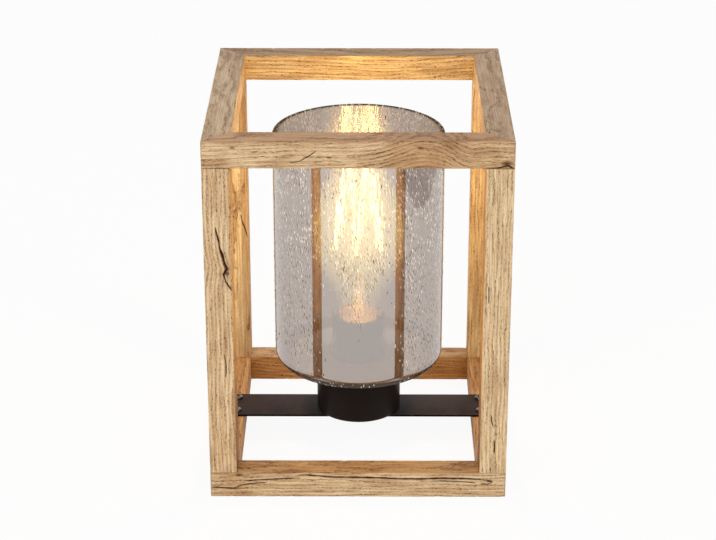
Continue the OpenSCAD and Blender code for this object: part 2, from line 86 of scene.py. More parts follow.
class Signal:
    """An output of a shader tree, on which arithmetic adds Math nodes."""

    def __init__(self, tree: "Tree", socket: bpy.types.NodeSocket) -> None:
        """Wraps an output socket of a tree."""
        self.tree = tree
        self.socket = socket

    def __add__(self, other: "Signal | float") -> "Signal":
        """Adds."""
        return self.tree.math("ADD", self, other)

    def __sub__(self, other: "Signal | float") -> "Signal":
        """Takes away."""
        return self.tree.math("SUBTRACT", self, other)

    def __rsub__(self, other: "Signal | float") -> "Signal":
        """Takes this away from a number."""
        return self.tree.math("SUBTRACT", other, self)

    def __mul__(self, other: "Signal | float") -> "Signal":
        """Multiplies."""
        return self.tree.math("MULTIPLY", self, other)

    __radd__ = __add__
    __rmul__ = __mul__

    def __truediv__(self, other: "Signal | float") -> "Signal":
        """Divides."""
        return self.tree.math("DIVIDE", self, other)


class Tree:
    """The shader tree of a material or of the world."""

    def __init__(self, owner: bpy.types.ID) -> None:
        """Empties the owner's tree.

        Args:
            owner: The material or world.
        """
        owner.use_nodes = True
        self.nodes = owner.node_tree.nodes
        self.links = owner.node_tree.links
        self.nodes.clear()

    def node(
        self,
        kind: str,
        settings: dict | None = None,
        sockets: dict | None = None,
        output: int | str = 0,
    ) -> Signal:
        """Adds a node.

        Args:
            kind: Type of the node.
            settings: Settings of the node, which are set first.
            sockets: Values or links by socket name or number.
            output: Name or number of the output that is wanted.

        Returns:
            That output.
        """
        made = self.nodes.new(kind)
        for name, value in (settings or {}).items():
            setattr(made, name, value)
        for key, value in (sockets or {}).items():
            if isinstance(key, int):
                socket = made.inputs[key]
            else:
                socket = next(s for s in made.inputs if s.name == key and s.enabled)
            if isinstance(value, Signal):
                self.links.new(value.socket, socket)
            else:
                socket.default_value = value
        if isinstance(output, int):
            return Signal(self, [s for s in made.outputs if s.enabled][output])
        return Signal(self, next(s for s in made.outputs if s.name == output and s.enabled))

    def math(self, operation: str, *values: Signal | float) -> Signal:
        """Adds a Math node with the values or links of its sockets."""
        return self.node("ShaderNodeMath", {"operation": operation}, dict(enumerate(values)))

    def vector(self, operation: str, *values: Signal | Triple, output: str = "Vector") -> Signal:
        """Adds a Vector Math node with the values or links of its sockets."""
        settings = {"operation": operation}
        return self.node("ShaderNodeVectorMath", settings, dict(enumerate(values)), output)

    def larger(self, a: Signal, b: Signal) -> Signal:
        """The larger of two values."""
        return self.math("MAXIMUM", a, b)

    def step(self, value: Signal, low: float, high: float) -> Signal:
        """A soft step: 0 below low, 1 above high."""
        ends = {"Value": value, "From Min": low, "From Max": high}
        return self.node("ShaderNodeMapRange", {"interpolation_type": "SMOOTHSTEP"}, ends)

    def mix(self, amount: Signal | float, a: Signal | Colour, b: Signal | Colour) -> Signal:
        """Mixes two colours: amount 0 is a, amount 1 is b."""
        return self.node("ShaderNodeMix", {"data_type": "RGBA"}, {"Factor": amount, "A": a, "B": b})

    def noise(self, place: Signal, grain: Triple, detail: float = 2.0) -> Signal:
        """Noise with its own grain size along each axis.

        Args:
            place: The coordinates.
            grain: Size of the noise along X, Y and Z, in the units of place.
            detail: Octaves of finer noise.

        Returns:
            The noise, about 0 to 1.
        """
        spread = self.vector("MULTIPLY", place, tuple(1 / size for size in grain))
        sockets = {"Vector": spread, "Scale": 1.0, "Detail": detail}
        return self.node("ShaderNodeTexNoise", None, sockets)

    def place(self) -> Signal:
        """Object coordinates, in metres."""
        return self.node("ShaderNodeTexCoord", output="Object")

    def coordinate(self, place: Signal, axis: str) -> Signal:
        """The X, Y or Z of a place."""
        return self.node("ShaderNodeSeparateXYZ", None, {0: place}, output=axis)

    def aslant(self) -> Signal:
        """0 where a surface faces the eye, and 1 at its outline."""
        return self.node("ShaderNodeLayerWeight", None, {"Blend": 0.5}, output="Facing")

    def attribute(self, name: str, output: str = "Fac") -> Signal:
        """An attribute of the mesh."""
        return self.node("ShaderNodeAttribute", {"attribute_name": name}, output=output)

    def ray(self, *kinds: str) -> Signal:
        """1 for the given kinds of ray, such as Camera or Shadow, and 0 for others."""
        lit = [self.node("ShaderNodeLightPath", output=f"Is {kind} Ray") for kind in kinds]
        return reduce(self.larger, lit)

    def bump(self, height: Signal, distance: float) -> Signal:
        """A normal from a height of 0 to 1 that stands for a distance in metres."""
        return self.node("ShaderNodeBump", None, {"Height": height, "Distance": distance})

    def principled(self, **sockets: Signal | Colour | float) -> Signal:
        """A Principled shader; socket names are given with _ for each space."""
        names = {key.replace("_", " "): value for key, value in sockets.items()}
        return self.node("ShaderNodeBsdfPrincipled", None, names)

    def blend(self, amount: Signal | float, a: Signal, b: Signal) -> Signal:
        """Mixes two shaders: amount 0 is a, amount 1 is b."""
        return self.node("ShaderNodeMixShader", None, {0: amount, 1: a, 2: b})

    def clear_shadow(self, body: Signal, tint: Colour) -> Signal:
        """Lets light pass straight through a shader, tinted, instead of a full shadow."""
        clear = self.node("ShaderNodeBsdfTransparent", None, {"Color": tint})
        return self.blend(self.ray("Shadow"), body, clear)

    def show(self, shader: Signal, kind: str = "ShaderNodeOutputMaterial") -> None:
        """Sends a shader to the output of the tree."""
        self.links.new(shader.socket, self.nodes.new(kind).inputs["Surface"])


class Finish:
    """A finish of the lamp.  Each kind fills a tree with its shader."""

    def fill(self, tree: Tree) -> Signal:
        """Builds the shader in a tree.

        Args:
            tree: The shader tree.

        Returns:
            The shader.
        """
        raise NotImplementedError

    def material(self, name: str) -> Material:
        """Makes the material.

        Args:
            name: Name of the material.

        Returns:
            The new material.
        """
        made = bpy.data.materials.new(name)
        tree = Tree(made)
        tree.show(self.fill(tree))
        return made


@dataclass(frozen=True)
class OiledOak(Finish):
    """Old oak: growth rings, short dark pores in rows, fibres and cracks, with painted light and
    shade.
    """

    pale: Colour = srgb(238, 210, 168)
    tan: Colour = srgb(203, 165, 120)
    brown: Colour = srgb(160, 116, 76)
    pore: Colour = srgb(84, 54, 32)
    crack: Colour = srgb(64, 33, 15)
    # The grey that the top faces are mixed towards is painted shade.
    cool_shade: Colour = srgb(140, 118, 100)
    ring: float = 2.7
    wander: float = 6.0
    ripple: float = 1.7
    roughness: float = 0.62
    relief: float = 0.00018

    def early_wood(self, tree: Tree, grain: Signal) -> Signal:
        """The early wood of the growth rings, in which the pores stand.

        Args:
            tree: The shader tree.
            grain: Place in the tree's own wood, in millimetres, X along the grain.

        Returns:
            1 in the early wood of each ring, and 0 in the rest.
        """
        drift = tree.noise(grain, (46, 13, 13), 2) - 0.5
        ripple = tree.noise(grain, (9, 2.8, 2.8), 1) - 0.5
        radius = tree.vector("LENGTH", tree.vector("MULTIPLY", grain, (0, 1, 1)), output="Value")
        years = (radius + drift * self.wander + ripple * self.ripple) / self.ring
        phase = tree.math("FRACT", years)
        return (1 - tree.step(phase, 0.18, 0.6)) * tree.step(phase, 0.0, 0.06)

    def fill(self, tree: Tree) -> Signal:
        """Builds the wood on the grain coordinates that each piece carries, with its painted light
        and shade.

        Args:
            tree: The shader tree.

        Returns:
            The shader.
        """
        grain, check = tree.attribute("grain", "Vector"), tree.attribute("check")
        early = self.early_wood(tree, grain)
        worn = tree.step(tree.noise(grain, (15, 3.4, 3.4), 1), 0.36, 0.6) * 0.6 + 0.4
        row = tree.noise(grain, (2.1, 0.36, 0.36), 0)
        fine = tree.noise(grain, (1.4, 0.25, 0.25), 0)
        pores = tree.step(row, 0.55, 0.63) * (early * 0.7 + 0.3) * worn
        specks = tree.step(fine, 0.58, 0.7) * (early * 0.4 + 0.4)
        fibre = tree.noise(grain, (26, 0.8, 0.8), 3)
        cloud = tree.noise(grain, (38, 8, 8), 2)
        colour = tree.mix(tree.step(fibre, 0.3, 0.7), self.tan, self.pale)
        colour = tree.mix(early * worn * 0.42, colour, self.brown)
        colour = tree.mix(tree.step(cloud, 0.46, 0.74) * 0.55, colour, self.brown)
        # Painted shade: the tops of the top rails are greyed.
        colour = tree.mix(tree.attribute("cool_shade"), colour, self.cool_shade)
        colour = tree.mix(specks * 0.5, colour, self.pore)
        colour = tree.mix(pores * 0.85, colour, self.pore)
        # Painted light and shade: each point's tint warms or darkens the wood by side, band and
        # patch.
        colour = tree.vector("MULTIPLY", colour, tree.attribute("painted_tint", "Vector"))
        # Cracks: the dark of the gap is painted shade, and the soft edge is darker wood along the
        # crack.
        colour = tree.mix(check, colour, self.crack)
        height = fibre * 0.25 - pores * 0.7 - specks * 0.2
        return tree.principled(
            Base_Color=colour,
            Roughness=self.roughness + pores * 0.2 + check * 0.38,
            Specular_IOR_Level=0.3,
            Normal=tree.bump(height, self.relief),
        )


@dataclass(frozen=True)
class DowelWood(Finish):
    """Turned beech of the hidden dowels."""

    light: Colour = srgb(205, 172, 128)
    dark: Colour = srgb(176, 138, 94)

    def fill(self, tree: Tree) -> Signal:
        """Builds a straight upright grain.

        Args:
            tree: The shader tree.

        Returns:
            The shader.
        """
        streaks = tree.noise(tree.place(), (0.0006, 0.0006, 0.012), 2)
        colour = tree.mix(tree.step(streaks, 0.35, 0.65), self.dark, self.light)
        return tree.principled(
            Base_Color=colour, Roughness=0.6, Normal=tree.bump(streaks, 0.00005)
        )


@dataclass(frozen=True)
class Coated(Finish):
    """Paint, plastic, rubber or ceramic: a colour with a fine skin, and a lighter top of dust and
    painted sheen.
    """

    colour: Colour
    dust_sheen: Colour
    roughness: float = 0.45
    gloss: float = 0.5
    skin: float = 0.00002
    grit: float = 0.0006
    dust_size: float = 0.014

    def fill(self, tree: Tree) -> Signal:
        """Builds a fine orange skin, with dust and painted sheen on what faces up.

        Args:
            tree: The shader tree.

        Returns:
            The shader.
        """
        place = tree.place()
        skin = tree.noise(place, (self.grit,) * 3, 2)
        cloud = tree.noise(place, (self.dust_size,) * 3, 3)
        upward = tree.coordinate(tree.node("ShaderNodeNewGeometry", output="Normal"), "Z")
        # Dust and painted sheen: what faces up is lightened.
        dust_and_sheen = tree.step(upward, 0.3, 0.95) * (tree.step(cloud, 0.25, 0.6) * 0.3 + 0.7)
        return tree.principled(
            Base_Color=tree.mix(dust_and_sheen, self.colour, self.dust_sheen),
            Roughness=self.roughness + (cloud - 0.5) * 0.16,
            Specular_IOR_Level=self.gloss,
            Normal=tree.bump(skin, self.skin),
        )


@dataclass(frozen=True)
class BareMetal(Finish):
    """Metal with turning marks round the axis of the lamp and faint tarnish."""

    colour: Colour
    tarnish: Colour
    roughness: float = 0.28
    # bore and bore_glow paint the bulb's warm light inside the mouth of the sleeve: a painted glow.
    bore: Colour = srgb(236, 168, 104)
    bore_glow: Colour = (0.55, 0.25, 0.07, 1)
    mark_pitch: float = 0.00025
    mark_depth: float = 0.000006
    cloud_size: float = 0.006

    def fill(self, tree: Tree) -> Signal:
        """Builds fine level turning marks, and a painted warm glow of the bulb's light where the
        attribute bore is 1.

        Args:
            tree: The shader tree.

        Returns:
            The shader.
        """
        place, bore = tree.place(), tree.attribute("bore")
        turned = tree.noise(place, (0.02, 0.02, self.mark_pitch), 2)
        cloud = tree.noise(place, (self.cloud_size,) * 3, 3)
        colour = tree.mix(tree.step(cloud, 0.45, 0.75), self.colour, self.tarnish)
        return tree.principled(
            Base_Color=tree.mix(bore, colour, self.bore),
            Metallic=1.0,
            Roughness=self.roughness + (turned - 0.5) * 0.1 + (cloud - 0.5) * 0.14,
            Normal=tree.bump(turned, self.mark_depth),
            Emission_Color=tree.mix(bore, BLACK, self.bore_glow),
            Emission_Strength=1.0,
        )


@dataclass(frozen=True)
class WallMarks:
    """What the shader of the glass knows of a point of the wall, each from 0 to 1."""

    # Painted light and shade among these: the foot and rim, the outline, the stretch before the
    # bulb and the glints of lit seeds.
    outside: Signal
    foot: Signal
    before: Signal
    lit: Signal
    dark: Signal
    dark_patch: Signal
    aslant: Signal
    outline_shade: Signal


@dataclass(frozen=True)
class SmokedGlass(Finish):
    """Drawn glass full of seeds, with a half-mirror on its outside."""

    tint: Colour
    mirror: Colour
    mirrored: float
    # deep is painted shade towards the outline and the colour of the dark patch; foot is painted
    # shade of the foot and rim and the colour of dark seeds. olive colours dark seeds, and paints
    # amber light on them before the bulb; scatter is a painted glow of the bulb inside the wall;
    # glint and amber are painted glints.
    deep: Colour = (0.24, 0.2, 0.185, 1)
    foot: Colour = (0.035, 0.018, 0.01, 1)
    olive: Colour = (0.28, 0.21, 0.02, 1)
    scatter: Colour = (0.12, 0.07, 0.03, 1)
    glint: Colour = (0.44, 0.36, 0.25, 1)
    amber: Colour = (0.52, 0.42, 0.1, 1)
    lean: float = 3.2
    calm_half: float = 0.022
    calm_top: float = 0.13
    cloud: Colour = (0.3, 0.26, 0.27, 1)
    cloud_at: Point = (0.042, 0.231)
    cloud_size: Point = (0.013, 0.04)
    cell: Point = (0.0018, 0.0049)
    radius: float = 0.059
    unevenness: float = 0.00022
    shadow: Colour = (0.62, 0.58, 0.55, 1)

    def flecks(self, tree: Tree, place: Signal, crowd: Signal) -> tuple[Signal, Signal]:
        """Single seeds, one in each cell of the wall: bright ones that take a painted glint, and
        dark ones.

        Args:
            tree: The shader tree.
            place: The coordinates.
            crowd: How crowded the seeds are.

        Returns:
            1 inside a bright seed, and 1 inside a dark one.
        """
        x, y, height = (tree.coordinate(place, axis) for axis in "XYZ")
        angle = tree.math("ARCTAN2", x, y * -1)
        around = (angle + height * self.lean) * (self.radius / self.cell[0])
        flat = tree.node("ShaderNodeCombineXYZ", None, {0: around, 1: height / self.cell[1]})
        cells, sockets = {"voronoi_dimensions": "2D"}, {"Vector": flat, "Scale": 1.0}
        gap = tree.node("ShaderNodeTexVoronoi", cells, sockets)
        pick = tree.node("ShaderNodeTexVoronoi", cells, sockets, "Color")
        kind, there = (
            tree.node("ShaderNodeSeparateColor", None, {0: pick}, output=channel)
            for channel in ("Red", "Green")
        )
        seed = (1 - tree.step(gap, 0.1, 0.32)) * tree.step(there + crowd, 1.0, 1.2)
        bright = tree.step(kind, 0.56, 0.6)
        return seed * bright, seed * (1 - bright)

    def seeds(self, tree: Tree, place: Signal, across: float) -> Signal:
        """Long seeds that lean a little round the cylinder.

        Args:
            tree: The shader tree.
            place: The coordinates.
            across: How far round they are moved, in radians.

        Returns:
            1 inside a seed and 0 outside.
        """
        angle = tree.coordinate(place, "Z") * self.lean + across
        settings, sockets = {"rotation_type": "Z_AXIS"}, {"Vector": place, "Angle": angle}
        leaning = tree.node("ShaderNodeVectorRotate", settings, sockets)
        return tree.step(tree.noise(leaning, (0.0011, 0.0011, 0.0036), 1), 0.6, 0.7)

    def before_bulb(self, tree: Tree, side: Signal, height: Signal) -> Signal:
        """The stretch of the wall before the bulb's neck, wider upwards, where the seeds take
        painted amber light.

        Args:
            tree: The shader tree.
            side: Distance from the middle of the front or back.
            height: Height over the floor.

        Returns:
            1 in the stretch and 0 outside.
        """
        below = 1 - tree.step(height, 0.15, 0.175)
        return (1 - tree.step(side - (height - 0.1) * 0.3, -0.002, 0.003)) * below

    def crowd(
        self, tree: Tree, place: Signal, side: Signal, height: Signal, before: Signal
    ) -> Signal:
        """Where the seeds crowd: less in the calm stretches low in front and at the back, more
        before the bulb's neck, where they carry painted light.

        Args:
            tree: The shader tree.
            place: The coordinates.
            side: Distance from the middle of the front or back.
            height: Height over the floor.
            before: 1 before the neck of the bulb.

        Returns:
            How crowded the seeds are, about 0 to 1.
        """
        low = 1 - tree.step(height, self.calm_top, self.calm_top + 0.03)
        calm = (1 - tree.step(side, self.calm_half, self.calm_half + 0.012)) * (low * 0.5 + 0.4)
        calm = calm * (1 - before * 0.8)
        patchy = tree.step(tree.noise(place, (0.018, 0.018, 0.03), 1), 0.3, 0.55)
        return (1 - calm) * (patchy * 0.5 + 0.38) + before * 0.2

    def dark_patch(self, tree: Tree, place: Signal) -> Signal:
        """A darker patch high on the right of the front.

        Args:
            tree: The shader tree.
            place: The coordinates.

        Returns:
            1 inside the patch and 0 outside.
        """
        x, y, height = (tree.coordinate(place, axis) for axis in "XYZ")
        wavy = tree.noise(place, (0.012, 0.012, 0.016), 1) * 0.7
        across = (x - self.cloud_at[0]) / self.cloud_size[0]
        above = (height - self.cloud_at[1]) / self.cloud_size[1]
        near = 1 - tree.step(across * across + above * above + wavy, 1.35, 1.55)
        return near * tree.step(y * -1, 0.0, 0.01)

    def marks(self, tree: Tree, place: Signal) -> WallMarks:
        """Works out where seeds, smoke and edges lie in the wall.

        Args:
            tree: The shader tree.
            place: The coordinates.

        Returns:
            The marks of the wall.
        """
        outside, foot = tree.attribute("mirror"), tree.attribute("foot")
        height = tree.coordinate(place, "Z")
        side = tree.math("ABSOLUTE", tree.coordinate(place, "X"))
        before = self.before_bulb(tree, side, height)
        crowd = self.crowd(tree, place, side, height, before)
        glint, shade = self.flecks(tree, place, crowd + foot)
        relief = (self.seeds(tree, place, 0.0) - self.seeds(tree, place, 0.013)) * crowd
        # Painted glints: the bright seeds grow brighter upwards and in the foot.
        lit = tree.larger(relief, glint) * (tree.step(height, 0.1, 0.19) * 0.95 + foot * 0.7 + 0.3)
        dark = tree.larger(relief * -1, shade) * (crowd * 0.8 + 0.4)
        aslant = tree.aslant()
        # Near the outline the glass is darkened: painted shade.
        outline_shade = tree.step(aslant, 0.76, 0.88)
        return WallMarks(outside, foot, before, lit, dark, self.dark_patch(tree, place), aslant, outline_shade)

    def glass(self, tree: Tree, marks: WallMarks, normal: Signal) -> Signal:
        """The clear part of the wall, whose inside carries a painted glow of the bulb's light and
        painted glints.

        Args:
            tree: The shader tree.
            marks: The marks of the wall.
            normal: The uneven surface.

        Returns:
            The shader.
        """
        # Painted shade darkens the tint towards the outline; the inside glows with painted light of
        # the bulb.
        tint = tree.mix(marks.aslant * 0.85 + marks.dark_patch * 0.5, self.tint, self.deep)
        tint = tree.mix(marks.dark * 0.72, tint, self.olive)
        inside = 1 - marks.outside
        haze = inside * (marks.lit * 0.8 + 0.6) * (1 - marks.outline_shade * 0.8)
        glow = tree.mix(haze, BLACK, self.scatter)
        return tree.principled(
            Base_Color=tint,
            Roughness=0.0,
            IOR=1.5,
            Transmission_Weight=1.0,
            Normal=normal,
            Emission_Color=tree.mix(marks.lit * inside * 0.5, glow, self.glint),
            Emission_Strength=1.0,
        )

    def half_mirror(self, tree: Tree, marks: WallMarks, normal: Signal) -> Signal:
        """The metal coat on the outside of the wall, with painted shade towards its outline and
        painted glints that turn amber before the bulb.

        Args:
            tree: The shader tree.
            marks: The marks of the wall.
            normal: The uneven surface.

        Returns:
            The shader.
        """
        # Painted shade towards the outline, and painted glints that turn amber before the bulb.
        colour = tree.mix(marks.aslant * 0.42, self.mirror, self.deep)
        colour = tree.mix(marks.dark_patch * 0.72, colour, self.cloud)
        colour = tree.mix(marks.dark * 0.6, colour, tree.mix(marks.before, self.foot, self.olive))
        spark = tree.mix(marks.before, self.glint, self.amber)
        return tree.principled(
            Base_Color=colour,
            Metallic=1.0,
            Roughness=0.03,
            Normal=normal,
            Emission_Color=tree.mix(marks.lit, BLACK, spark),
            Emission_Strength=1.0,
        )

    def fill(self, tree: Tree) -> Signal:
        """Builds the glass, with the half-mirror where the attribute mirror is 1, and painted shade
        at the foot and rim.

        Args:
            tree: The shader tree.

        Returns:
            The shader.
        """
        place = tree.place()
        marks = self.marks(tree, place)
        drawn = tree.noise(place, (0.016, 0.016, 0.05), 1)
        ripple = tree.noise(place, (0.002, 0.002, 0.012), 1)
        normal = tree.bump(drawn * 0.3 + ripple * (1 - marks.outside), self.unevenness)
        glass, coat = self.glass(tree, marks, normal), self.half_mirror(tree, marks, normal)
        # Painted shade of the thick foot and rim, broken by the painted glints; the half-mirror
        # also fades at the outline.
        dull = tree.principled(Base_Color=self.foot, Roughness=0.7, Specular_IOR_Level=0.1)
        share = marks.outside * (self.mirrored + marks.lit * 0.26) * (1 - marks.outline_shade * 0.8)
        wall = tree.blend(share, glass, coat)
        body = tree.blend(marks.foot * (0.9 - marks.lit * 0.6), wall, dull)
        return tree.clear_shadow(body, self.shadow)


@dataclass(frozen=True)
class SeedSkin(Finish):
    """The bright mirror skin of a seed, with painted shade round its edge."""

    light: Colour = (0.95, 0.9, 0.85, 1)
    dark: Colour = (0.12, 0.09, 0.075, 1)

    def fill(self, tree: Tree) -> Signal:
        """Builds a mirror darkened by painted shade towards the edge; some seeds are dark all over.

        Args:
            tree: The shader tree.

        Returns:
            The shader.
        """
        amount = tree.larger(tree.step(tree.aslant(), 0.35, 0.8), tree.attribute("dull"))
        colour = tree.mix(amount, self.light, self.dark)
        return tree.principled(Base_Color=colour, Metallic=1.0, Roughness=0.12)


@dataclass(frozen=True)
class LampGlass(Finish):
    """Clear glass of a bulb with a painted glow of the filament's light in it."""

    glow: Colour
    strength: float
    glow_z: float
    spread: float
    edge: float = 2.0
    neck: Colour = (0.24, 0.11, 0.02, 1)
    neck_z: float = 0.094
    tint: Colour = (0.99, 0.985, 0.97, 1)
    wave: float = 0.00004
    shadow: Colour = (0.97, 0.97, 0.97, 1)

    def fill(self, tree: Tree) -> Signal:
        """Builds the glass; its painted glow fades with height and towards its outline, and is a
        dimmer warm glow below the neck.

        Args:
            tree: The shader tree.

        Returns:
            The shader.
        """
        place = tree.place()
        wave = tree.noise(place, (0.02, 0.02, 0.03), 1)
        height = tree.coordinate(place, "Z")
        away = (height - self.glow_z) / self.spread
        inner = tree.math("POWER", 1 - tree.aslant(), self.edge)
        glow = tree.mix(inner / (away * away + 1), BLACK, self.glow)
        glow = tree.mix(tree.step(height, self.neck_z, self.neck_z + 0.008), self.neck, glow)
        body = tree.principled(
            Base_Color=self.tint,
            Roughness=0.0,
            IOR=1.45,
            Transmission_Weight=1.0,
            Normal=tree.bump(wave, self.wave),
            Emission_Color=glow,
            Emission_Strength=self.strength,
        )
        return tree.clear_shadow(body, self.shadow)


@dataclass(frozen=True)
class HotFilament(Finish):
    """A filament that glows, a little unevenly along its wire."""

    colour: Colour = (1.0, 0.62, 0.22, 1)
    cooler: Colour = (1.0, 0.55, 0.17, 1)
    wire: Colour = (0.2, 0.18, 0.16, 1)
    strength: float = 15.0

    def fill(self, tree: Tree) -> Signal:
        """Builds the glow on a dark metal.

        Args:
            tree: The shader tree.

        Returns:
            The shader.
        """
        uneven = tree.noise(tree.place(), (0.004,) * 3, 1)
        return tree.principled(
            Base_Color=self.wire,
            Roughness=0.5,
            Emission_Color=tree.mix(tree.step(uneven, 0.3, 0.7), self.cooler, self.colour),
            Emission_Strength=self.strength,
        )


# ---- mesh tools ----


def clamp(value: float) -> float:
    """Keeps a number from 0 to 1."""
    return max(0.0, min(1.0, value))


def arc(centre: Point, radius: float, start: float, end: float, count: int = 6) -> list[Point]:
    """Points of an arc.

    Args:
        centre: Centre of the arc.
        radius: Its radius.
        start: Angle of the first point, in degrees.
        end: Angle of the last point, in degrees.
        count: Number of steps.

    Returns:
        The points, ends included.
    """
    angles = [math.radians(start + (end - start) * i / count) for i in range(count + 1)]
    return [(centre[0] + radius * math.cos(a), centre[1] + radius * math.sin(a)) for a in angles]


def curve(a: Point, p: Point, q: Point, b: Point, count: int) -> list[Point]:
    """Points of a cubic curve after its first one.

    Args:
        a: Start of the curve.
        p: Handle of the start.
        q: Handle of the end.
        b: End of the curve.
        count: Number of steps.

    Returns:
        The points, without the start.
    """
    made = []
    for i in range(1, count + 1):
        t = i / count
        weights = ((1 - t) ** 3, 3 * (1 - t) ** 2 * t, 3 * (1 - t) * t * t, t**3)
        made.append(tuple(sum(w * c[k] for w, c in zip(weights, (a, p, q, b))) for k in (0, 1)))
    return made


def upright(radius: float, low: float, high: float, step: float) -> list[Point]:
    """Points up (or down) a straight wall, about a step apart, without the first one."""
    count = max(1, round(abs(high - low) / step))
    return [(radius, low + (high - low) * i / count) for i in range(1, count + 1)]


def spun(profile: Sequence[Point], steps: int = 144) -> Shape:
    """Turns a section round the Z axis.

    Args:
        profile: Radius and height of each point of the closed section.
        steps: Steps of the full turn.

    Returns:
        The closed shape.
    """
    bm = bmesh.new()
    points = [bm.verts.new((r, 0, z)) for r, z in profile]
    ends = zip(points, points[1:] + points[:1])
    edges = [bm.edges.new(pair) for pair in ends if pair[0].co.x or pair[1].co.x]
    bmesh.ops.spin(
        bm,
        geom=points + edges,
        cent=(0, 0, 0),
        axis=(0, 0, 1),
        angle=math.tau,
        steps=steps,
        use_merge=True,
    )
    bmesh.ops.remove_doubles(bm, verts=bm.verts, dist=1e-3)
    bmesh.ops.recalc_face_normals(bm, faces=bm.faces)
    return bm


def lift(bm: Shape, z: float) -> Shape:
    """Moves a shape up and returns it."""
    bmesh.ops.translate(bm, verts=bm.verts, vec=(0, 0, z))
    return bm


def turn(bm: Shape, angle: float, axis: str) -> Shape:
    """Turns a shape about an axis through the origin, in degrees, and returns it."""
    bmesh.ops.rotate(bm, verts=bm.verts, matrix=Matrix.Rotation(math.radians(angle), 3, axis))
    return bm


def round_edges(bm: Shape, edges: list[bmesh.types.BMEdge], offset: float, segments: int) -> None:
    """Bevels edges to a round.

    Args:
        bm: The shape.
        edges: Its edges that are bevelled.
        offset: Width of the bevel.
        segments: Segments of the bevel.
    """
    bmesh.ops.bevel(
        bm,
        geom=edges,
        offset=offset,
        affect="EDGES",
        segments=segments,
        profile=0.5,
        material=-1,
    )


def soften(bm: Shape, offset: float, least: float = 30, segments: int = 2) -> None:
    """Bevels every edge that is sharper than an angle.

    Args:
        bm: The shape.
        offset: Width of the bevel.
        least: Least angle between the faces of an edge, in degrees.
        segments: Segments of the bevel.
    """
    sharp = [e for e in bm.edges if e.is_manifold and math.degrees(e.calc_face_angle()) > least]
    round_edges(bm, sharp, offset, segments)


def to_mesh(bm: Shape, name: str, sharp: float = 32) -> Mesh:
    """Turns a shape in millimetres into a smooth mesh in metres.

    Args:
        bm: The shape, which is freed.
        name: Name of the mesh.
        sharp: Edges with a larger angle than this, in degrees, stay sharp.

    Returns:
        The mesh.
    """
    bmesh.ops.scale(bm, verts=bm.verts, vec=(MM, MM, MM))
    for face in bm.faces:
        face.smooth = True
    for edge in bm.edges:
        edge.smooth = not edge.is_manifold or math.degrees(edge.calc_face_angle()) < sharp
    mesh = bpy.data.meshes.new(name)
    bm.to_mesh(mesh)
    bm.free()
    return mesh


def joined(shapes: Iterable[Shape]) -> Shape:
    """Puts several shapes into one and frees them.

    Args:
        shapes: The shapes.

    Returns:
        The shape that holds them all.
    """
    whole = bmesh.new()
    for shape in shapes:
        part = bpy.data.meshes.new("part")
        shape.to_mesh(part)
        shape.free()
        whole.from_mesh(part)
        bpy.data.meshes.remove(part)
    return whole


def placed(name: str, data: bpy.types.ID) -> bpy.types.Object:
    """Makes an object of some data and links it to the scene."""
    obj = bpy.data.objects.new(name, data)
    bpy.context.scene.collection.objects.link(obj)
    return obj


def carved(bm: Shape, cutter: Shape) -> Shape:
    """Cuts one shape out of another, and frees both.

    Args:
        bm: The shape that is cut.
        cutter: The shape that is taken away.

    Returns:
        What is left.
    """
    made = []
    for shape in (bm, cutter):
        mesh = bpy.data.meshes.new("cut")
        shape.to_mesh(mesh)
        shape.free()
        made.append(placed("cut", mesh))
    cut = made[0].modifiers.new("cut", "BOOLEAN")
    cut.operation = "DIFFERENCE"
    cut.solver = "EXACT"
    cut.object = made[1]
    bpy.context.view_layer.update()
    left = bmesh.new()
    left.from_object(made[0], bpy.context.evaluated_depsgraph_get())
    for obj in made:
        mesh = obj.data
        bpy.data.objects.remove(obj)
        bpy.data.meshes.remove(mesh)
    return left


def wires(paths: Sequence[Sequence[Vector]], diameter: float, name: str) -> Mesh:
    """Sweeps round wires along lines of points.

    Args:
        paths: Points of each wire, in millimetres.
        diameter: Diameter of the wire, in millimetres.
        name: Name of the mesh.

    Returns:
        The mesh of all wires, in metres, with closed ends.
    """
    data = bpy.data.curves.new(name, "CURVE")
    data.dimensions = "3D"
    data.bevel_depth = diameter / 2 * MM
    data.bevel_resolution = 2
    data.use_fill_caps = True
    data.resolution_u = 4
    for path in paths:
        spline = data.splines.new("NURBS")
        spline.points.add(len(path) - 1)
        for point, place in zip(spline.points, path):
            point.co = (*(place * MM), 1)
        spline.order_u = 3
        spline.use_endpoint_u = True
    obj = placed(name, data)
    bpy.context.view_layer.update()
    finished = obj.evaluated_get(bpy.context.evaluated_depsgraph_get())
    mesh = bpy.data.meshes.new_from_object(finished)
    bpy.data.objects.remove(obj)
    bpy.data.curves.remove(data)
    for face in mesh.polygons:
        face.use_smooth = True
    return mesh


def piece(
    mesh: Mesh, name: str, material: Material, body: str, slot: str, *nodes: str
) -> bpy.types.Object:
    """Makes a piece of the lamp of a mesh, hangs it on its body and hides the nodes it stands for.

    Args:
        mesh: The mesh, in metres and in place.
        name: Name of the piece.
        material: Its finish.
        body: The body that it rides on.
        slot: Not used.
        *nodes: The nodes that it stands for.

    Returns:
        The new object.
    """
    mesh.materials.clear()
    mesh.materials.append(material)
    obj = placed(name, mesh)
    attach(obj, body)
    if nodes:
        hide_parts(*nodes)
    LOG.info("%-24s %6d faces, rides on %s", name, len(mesh.polygons), body)
    return obj


# ---- oak frame ----


class Side(Enum):
    """A long side of a timber: the axis that it faces along, and which way."""

    OUTER = (1, -1)
    INNER = (1, 1)
    UPPER = (2, 1)
    LOWER = (2, -1)


class Kind(Enum):
    """Where a timber stands in the frame."""

    TOP_RAIL = "top_rail"
    BOTTOM_RAIL = "bottom_rail"
    POST = "post"


